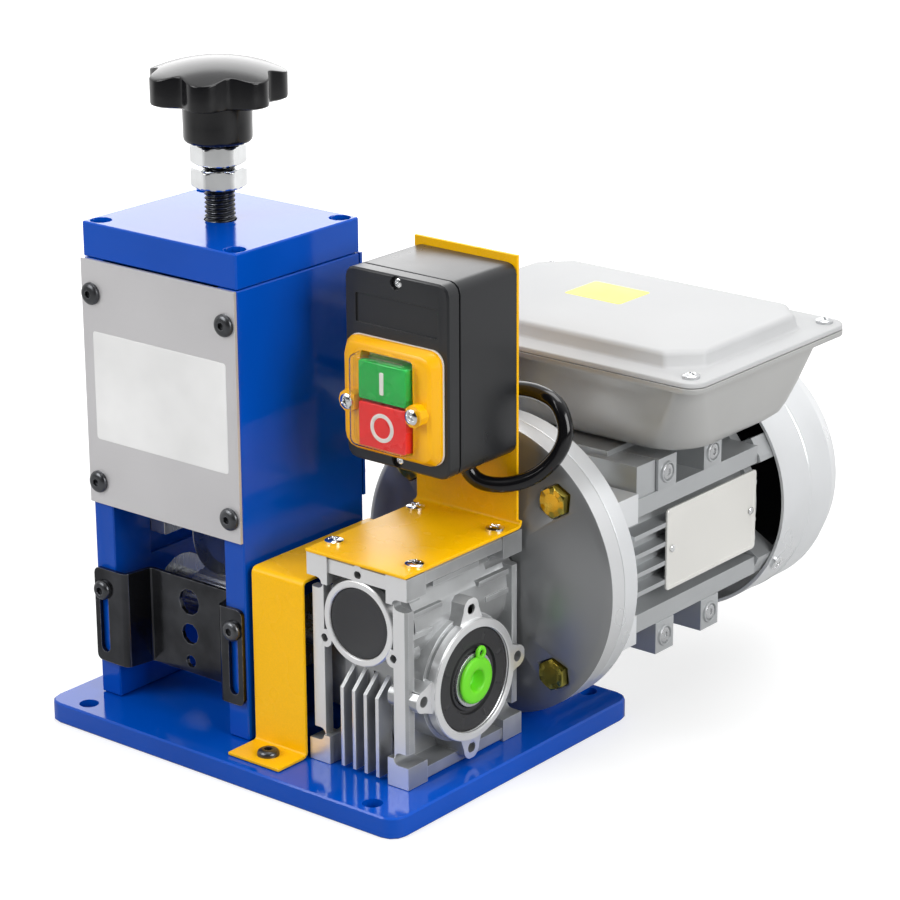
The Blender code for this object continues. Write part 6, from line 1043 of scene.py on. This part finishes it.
field = lid_low + 0.0025
lid_rings = [bowl_ring(RIM_HALF - inset, 0.0088 - inset, height)
             for inset, height in ((0.0070, lid_low), (0.0003, lid_low), (0, lid_low + 0.0003),
                                   (0, field - 0.0006), (0.0003, field - 0.0002), (0.0007, field))]
lid_rings += [lid_ring(inset, height) for inset, height in (
    (0.0108, field), (0.0116, field + 0.0003), (0.0123, field + 0.0012), (0.0128, field + 0.0050),
    (0.0134, field + 0.0064), (0.0144, field + 0.0070), (0.0162, lid_high - 0.0001), (0.0300, lid_high))]
stand_in("terminal_box_lid", "pressed", [lofted(lid_rings)], lid_white, 40)
LID_SCREW_INSET = 0.0085
lid_screws = [cross_screw(0.0040, 0.0022, field, 1, "Z",
                          (BOX_CENTRE[0] + x * (RIM_HALF[0] - LID_SCREW_INSET),
                           BOX_CENTRE[1] + y * (RIM_HALF[1] - LID_SCREW_INSET)), 0.4 + x + y)
              for x in (-1, 1) for y in (-1, 1)]
trim("lid_screws", lid_screws, "bright_steel", bright_steel)
print("lid is", round(lid_high - lid_low, 4), "m thick")

# %% [markdown]
# ## Motor trim
#
# Cap screws sit in turned rings on the clamp pads of the finned frame, and a bare rating plate
# with a pressed border is riveted to its fins. Three small screws hold the fan cover, which has
# a rolled bead round it.

# %% Motor screws
MOTOR_SIDE = high("motor_frame")[0]
PAD_PLACES = [(GEAR[1] + y, WORM_Z + z) for y in (0.112, 0.148) for z in (-0.0395, 0.0395)]
# Across a pad's ring: the reach from its screw and the rise over the pad
PAD_RING = ((0.0040, -0.0002), (0.0040, 0.0006), (0.0042, 0.0009), (0.0047, 0.0009), (0.0050, 0.0006),
            (0.0051, -0.0002))
pad_screws, pad_rings = [], []
for side, outward in ((MOTOR_SIDE, 1), (low("motor_frame")[0], -1)):
    pad_screws += [socket_screw(0.0037, 0.0007, 0.0030, 0.0006, side + outward * 0.0001, outward, "X",
                                place) for place in PAD_PLACES]
    ring_profile = [(reach, side + outward * rise) for reach, rise in PAD_RING]
    pad_rings += [turned(ring_profile, "X", place, 48) for place in PAD_PLACES]
trim("pad_rings", pad_rings, "motor_grey", motor_grey)
trim("pad_screws", pad_screws, "bright_steel", bright_steel)
print(len(pad_screws), "screws in the motor's pads")

# %% Rating plate
PLATE_LOW = np.array([MOTOR_SIDE - 0.0008, GEAR[1] + 0.1125, BASE_TOP + 0.052])
PLATE_HIGH = np.array([MOTOR_SIDE + 0.0002, GEAR[1] + 0.1845, BASE_TOP + 0.0912])
print("rating plate is", (PLATE_HIGH - PLATE_LOW)[1:].round(4), "m")


def plate(low_corner, high_corner, radius, axis, border=0.0, lip=0.0):
    """A thin plate with round corners whose border is pressed up by a lip, as a loft along an
    axis."""
    index = "XYZ".index(axis)
    others = [i for i in range(3) if i != index]
    centre = (low_corner + high_corner) / 2
    half = np.abs(high_corner - low_corner)[others] / 2
    face = high_corner[index]
    outward = 1.0 if face >= low_corner[index] else -1.0
    levels = [(0.0, low_corner[index]), (0.0, face - outward * 0.0001), (0.0001, face)]
    if border:
        levels += [(border, face), (border + 0.0003, face - outward * lip),
                   (border + 0.0012, face - outward * lip)]
    rings = []
    for inset, along in levels:
        outline = rectangle(*(half - inset), radius) + centre[others]
        rings.append(np.insert(outline, index, along, axis=1))
    return lofted(rings)


trim("rating_plate", [plate(PLATE_LOW, PLATE_HIGH, 0.002, "X", 0.0016, 0.00025)], "bright_steel",
     plate_metal, 35)
RIVET_INSET = 0.0042
rivets = [socket_screw(0.0018, 0.0009, 0.0001, 0.0, PLATE_HIGH[0], 1, "X",
                       (y, (PLATE_LOW[2] + PLATE_HIGH[2]) / 2))
          for y in (PLATE_LOW[1] + RIVET_INSET, PLATE_HIGH[1] - RIVET_INSET)]
trim("plate_rivets", rivets, "bright_zinc", bright_zinc)

# %% Fan cover screws and bead
cover_radius = (high("fan_cover")[0] - low("fan_cover")[0]) / 2
COVER_SCREW_ANGLES = np.radians([-30, 90, 210])
COVER_SCREW_Y = GEAR[1] + 0.2035


def radial_screw(angle, along, radius):
    """A cross screw on a cylinder round the motor's axis: drawn at the top of +X and turned to an
    angle."""
    points, quads = cross_screw(0.0036, 0.0020, radius, 1, "X", (0.0, 0.0))
    x, y, z = points[:, 0], points[:, 1] + along, points[:, 2]
    turned_x = x * math.cos(angle) - z * math.sin(angle) + GEAR[0]
    turned_z = x * math.sin(angle) + z * math.cos(angle) + WORM_Z
    return np.stack([turned_x, y, turned_z], axis=-1), quads


cover_screws = [radial_screw(angle, COVER_SCREW_Y, cover_radius - 0.0001)
                for angle in COVER_SCREW_ANGLES]
BEAD_Y = GEAR[1] + 0.2200
# Along the bead: its rise over the cover and its place from its middle
BEAD = ((-0.0002, -0.0012), (0.0003, -0.0006), (0.0004, 0), (0.0003, 0.0006), (-0.0002, 0.0012))
bead = turned([(cover_radius + rise, BEAD_Y + along) for rise, along in BEAD], *WORM_AXIS, 128)
trim("fan_cover_bead", [bead], "fan_cover_grey", cover_grey, 60)
trim("fan_cover_screws", cover_screws, "bright_zinc", bright_zinc)
print("fan cover is", round(2 * cover_radius, 4), "m across")

# %% [markdown]
# ## Switch
#
# The switch is a push-button box of the usual kind: green starts and red stops. A pale bar and
# a pale ring mark the two buttons, a soft clear cover keeps dust off them, and two eared screws
# hold that cover's yellow frame.

# %% Switch screws and button marks
cover_low, cover_high = low("switch_box_cover"), high("switch_box_cover")
SWITCH_X = middle("switch_box_cover")[0]
switch_screws = [cross_screw(0.0021, 0.0008, cover_low[1] + 0.0018, -1, "Y", (SWITCH_X, z))
                 for z in (cover_low[2] + 0.0037, cover_high[2] - 0.0037)]
trim("switch_cover_screws", switch_screws, "bright_zinc", bright_zinc)

bezel_low, bezel_high = low("switch_bezel"), high("switch_bezel")
BEZEL_Z = middle("switch_bezel")[2]
EAR_X = 0.0180
EAR_Z = BEZEL_Z - 0.0015
ear_screws = [cross_screw(0.0034, 0.0018, bezel_low[1] - 0.0001, -1, "Y",
                          (SWITCH_X + side * EAR_X, EAR_Z), 0.4 * side) for side in (-1, 1)]
trim("ear_screws", ear_screws, "bright_zinc", bright_zinc)

MARK_RISE = 0.0003
green_low, green_high = low("green_button"), high("green_button")
mark_face = green_low[1]
bar = plate(np.array([SWITCH_X - 0.0011, mark_face + MARK_RISE, green_low[2] + 0.0035]),
            np.array([SWITCH_X + 0.0011, mark_face - MARK_RISE, green_high[2] - 0.0035]), 0.0007, "Y")
piece("start_mark", [bar], node_body["green_button"], white_print)
ring_mark = turned([(0.0046, MARK_RISE), (0.0046, -0.0002), (0.0048, -MARK_RISE), (0.0062, -MARK_RISE),
                    (0.0064, -0.0002), (0.0064, MARK_RISE)],
                   "Y", (SWITCH_X, middle("red_button")[2]), 64, mark_face)
piece("stop_mark", [ring_mark], node_body["red_button"], white_print)
print("buttons are at", round(SWITCH_X, 4), round(mark_face, 4))

# %% Soft clear cover over the buttons
WINDOW_HALF = np.array([0.0165, 0.0210])
MEMBRANE_FACE = -0.0400
FRAME_FACE = bezel_low[1] + 0.0045
# Each ring: its inset from the cover's foot and its place along Y
MEMBRANE_LEVELS = ((-0.0012, FRAME_FACE + 0.0006), (-0.0012, FRAME_FACE - 0.0002),
                   (0.0000, FRAME_FACE - 0.0004), (0.0003, FRAME_FACE - 0.0012),
                   (0.0004, MEMBRANE_FACE + 0.0016), (0.0006, MEMBRANE_FACE + 0.0008),
                   (0.0011, MEMBRANE_FACE + 0.0002), (0.0019, MEMBRANE_FACE))


def membrane_ring(inset, along):
    """One ring of the clear cover: a rounded rectangle in the X-Z plane."""
    outline = rectangle(*(WINDOW_HALF - inset), 0.0040 - inset) + (SWITCH_X - 0.0005, BEZEL_Z)
    return np.insert(outline, 1, along, axis=1)


shell = [membrane_ring(inset, along) for inset, along in MEMBRANE_LEVELS]
middle_point = np.repeat(shell[-1].mean(axis=0)[None], len(shell[0]), axis=0)
shell_points = np.concatenate(shell + [middle_point])
cover = trim("clear_button_cover", [(shell_points, grid_quads(len(shell) + 1, len(shell[0])))],
             "yellow_plastic", clear_plastic, 50)
wall = cover.modifiers.new("wall", "SOLIDIFY")
wall.thickness = 0.0005
wall.offset = -1
GASKET_LIP = 0.0002
bezel_half = (bezel_high - bezel_low) / 2
rim = plate(np.array([SWITCH_X - bezel_half[0] - GASKET_LIP, cover_low[1] + 0.0001,
                      BEZEL_Z - bezel_half[2] - GASKET_LIP]),
            np.array([SWITCH_X + bezel_half[0] + GASKET_LIP, cover_low[1] - 0.0009,
                      BEZEL_Z + bezel_half[2] + GASKET_LIP]), 0.0062, "Y")
trim("bezel_gasket", [rim], "yellow_plastic", gasket, 35)
print("clear cover stands", round(FRAME_FACE - MEMBRANE_FACE, 4), "m proud")

# %% [markdown]
# ## Bracket, shaft cover and lead
#
# Cross-head screws hold the bracket's foot to the gearbox, a button-head screw holds the
# shaft cover's foot, and the switch's black lead loops round the bracket to the terminal box.

# %% Bracket and cover screws
SHEET_THICKNESS = 0.0015
BRACKET_TOP = low("switch_bracket")[2] + SHEET_THICKNESS
bracket_screws = [cross_screw(0.0042, 0.0022, BRACKET_TOP, 1, "Z",
                              (GEAR[0] + x * 0.0225, GEAR[1] + y * 0.0275), 0.5 + x + 2 * y)
                  for x in (-1, 1) for y in (-1, 1)]
trim("bracket_screws", bracket_screws, "bright_zinc", bright_zinc)
cover_low = low("shaft_cover")
foot_screw = socket_screw(0.0050, 0.0028, 0.0036, 0.0018, cover_low[2] + SHEET_THICKNESS, 1, "Z",
                          (cover_low[0] + 0.0159, GEAR[1] - 0.0510))
trim("cover_foot_screw", [foot_screw], "black_oxide", gunmetal)
print("bracket foot at", round(BRACKET_TOP, 4))

# %% Lead as a tube along a smooth route
LEAD_RADIUS = 0.0035
# Points on the route, measured from the worm's axis
LEAD_ROUTE = np.array((
    (0.0095, 0.0240, 0.0700), (0.0095, 0.0240, 0.0610), (0.0108, 0.0245, 0.0540),
    (0.0165, 0.0270, 0.0496), (0.0255, 0.0330, 0.0490), (0.0350, 0.0400, 0.0532),
    (0.0425, 0.0450, 0.0622), (0.0452, 0.0480, 0.0732), (0.0395, 0.0500, 0.0835),
    (0.0280, 0.0510, 0.0870), (0.0140, 0.0520, 0.0860), (0.0020, 0.0550, 0.0820),
    (-0.0080, 0.0590, 0.0765), (-0.0170, 0.0650, 0.0725), (-0.0235, 0.0720, 0.0705),
    (-0.0260, 0.0790, 0.0699), (-0.0260, 0.0860, 0.0698), (-0.0260, 0.0960, 0.0698)))


def smooth_route(route, per_span):
    """Catmull-Rom: between two points, the cubic whose ends head from each neighbour to the
    next."""
    ends = np.concatenate([[2 * route[0] - route[1]], route, [2 * route[-1] - route[-2]]])
    before, start, stop, after = (ends[shift:len(ends) - 3 + shift, None] for shift in range(4))
    t = np.linspace(0, 1, per_span, endpoint=False)[None, :, None]
    curve = (2 * start + (stop - before) * t + (2 * before - 5 * start + 4 * stop - after) * t ** 2
             + (3 * start - before - 3 * stop + after) * t ** 3) / 2
    return np.concatenate([curve.reshape(-1, 3), route[-1:]])


def tube(path, radius, around=20):
    """A circle carried along a path: its plane is square to the path, and its start keeps to one
    side of a reference that the path never heads along."""
    heading = np.gradient(path, axis=0)
    heading /= np.linalg.norm(heading, axis=1, keepdims=True)
    reference = np.array([-0.10, 0.69, -0.71])
    side = np.cross(heading, reference)
    side /= np.linalg.norm(side, axis=1, keepdims=True)
    up = np.cross(side, heading)
    angles = np.linspace(0, 2 * math.pi, around, endpoint=False)
    ring = side[:, None] * np.cos(angles)[:, None] + up[:, None] * np.sin(angles)[:, None]
    return lofted(path[:, None] + radius * ring)


lead_path = smooth_route(LEAD_ROUTE, 8) + np.array([GEAR[0], GEAR[1], WORM_Z])
stand_in("switch_lead", "sheath", [tube(lead_path, LEAD_RADIUS)], cable_black, 60)
print("lead has", len(lead_path), "points")

# %% Gland of the lead
gland_low, gland_high = low("lead_gland")[1], high("lead_gland")[1]
GLAND_CENTRE = centre_across("lead_gland", "Y")
GLAND_BORE = 0.0038
wall_side = BOX_CENTRE[1] - BOX_HALF[1]
ring_nut = hex_solid(0.0200, wall_side - 0.0033, wall_side - 0.0003, "Y", GLAND_CENTRE, GLAND_BORE,
                     chamfer_low=True)
barrel = turned([(GLAND_BORE, gland_low), (0.0060, gland_low), (0.0074, gland_low + 0.0012),
                 (0.0080, gland_low + 0.0040), (0.0080, gland_high), (GLAND_BORE, gland_high)],
                "Y", GLAND_CENTRE, 64)
stand_in("lead_gland", "moulded", [ring_nut, barrel], black_gloss, 30)
print("gland is", round(gland_high - gland_low, 4), "m long")

# %% [markdown]
# ## Blade wheel
#
# The slitting blade is a hardened disc with a ground bevel on both sides of its edge and a hub.

# %% Blade wheel
BLADE_RADIUS = 0.0275
blade_x = middle("blade_wheel")[0]
# Half of the section: the radius and the distance from the disc's middle, from bore to edge
HALF_SECTION = [(0.0063, 0.0120), (0.0105, 0.0120), (0.0110, 0.0115), (0.0110, 0.0026),
                (0.0114, 0.0022), (0.0224, 0.0022), (0.0226, 0.0021), (BLADE_RADIUS, 0.0002)]
blade_profile = HALF_SECTION + [(r, -s) for r, s in HALF_SECTION[::-1]]
blade = turned(blade_profile, "X", centre_across("blade_wheel", "X"), 128, blade_x)
stand_in("blade_wheel", "ground", [blade], tool_steel, 20)
print("blade is", round(2 * BLADE_RADIUS, 3), "m across")

# %% [markdown]
# ## Stickers
#
# Two plain vinyl stickers, a white one on the front guard and a yellow one on the lid, are thin
# plates with round corners.

# %% Plain stickers
sticker_face = low("front_guard")[1]
sticker = plate(np.array([TOWER[0] - 0.0400, sticker_face + 0.0001, BASE_TOP + 0.1253]),
                np.array([TOWER[0] + 0.0400, sticker_face - 0.00015, BASE_TOP + 0.1755]), 0.0015, "Y")
trim("guard_sticker", [sticker], "brushed_aluminium", sticker_white, 35)
lid_mark = plate(np.array([BOX_CENTRE[0] - 0.0300, BOX_CENTRE[1] - 0.0010, lid_high - 0.0002]),
                 np.array([BOX_CENTRE[0] + 0.0020, BOX_CENTRE[1] + 0.0240, lid_high + 0.0001]),
                 0.0015, "Z")
trim("lid_sticker", [lid_mark], "yellow_plastic", yellow_print, 35)
print("stickers are plain")

# %% [markdown]
# ## Floor
#
# The ground is a wide pale sheet that carries the soft contact shadow. It glows white towards
# the camera, less near the machine so that the shadow shows, and in reflections only behind it.

# %% Floor
GLOW_NEAR, GLOW_FAR = 0.30, 1.10
FLOOR_HALF = 4.0
paper = Finish("pale_floor", (0.40, 0.40, 0.40), 0.6)
paper.bump(paper.noise(200), 0.00001)
from_middle = paper.node("ShaderNodeVectorMath", (paper.coordinates,), operation="LENGTH")
whiteness = paper.spread(from_middle.outputs["Value"], GLOW_NEAR, GLOW_FAR, 0.64, 1.0)
behind = paper.node("ShaderNodeVectorMath", (paper.coordinates, (-0.6, 0.74, 0.0)),
                    operation="DOT_PRODUCT")
sheen = paper.spread(behind.outputs["Value"], -0.1, 0.9, 0.0, 0.8)
floor_rays = paper.node("ShaderNodeLightPath").outputs
glow = paper.math("ADD", paper.math("MULTIPLY", whiteness, floor_rays["Is Camera Ray"]),
                  paper.math("MULTIPLY", sheen, floor_rays["Is Glossy Ray"]))
paper.shader.inputs["Emission Color"].default_value = (1.0, 1.0, 1.0, 1.0)
paper.tree.links.new(glow, paper.shader.inputs["Emission Strength"])
floor_mesh = bpy.data.meshes.new("floor")
floor_mesh.from_pydata([(-FLOOR_HALF, -FLOOR_HALF, 0), (FLOOR_HALF, -FLOOR_HALF, 0),
                        (FLOOR_HALF, FLOOR_HALF, 0), (-FLOOR_HALF, FLOOR_HALF, 0)], [], [(0, 1, 2, 3)])
floor_mesh.materials.append(paper.material)
floor = bpy.data.objects.new("floor", floor_mesh)
bpy.context.collection.objects.link(floor)
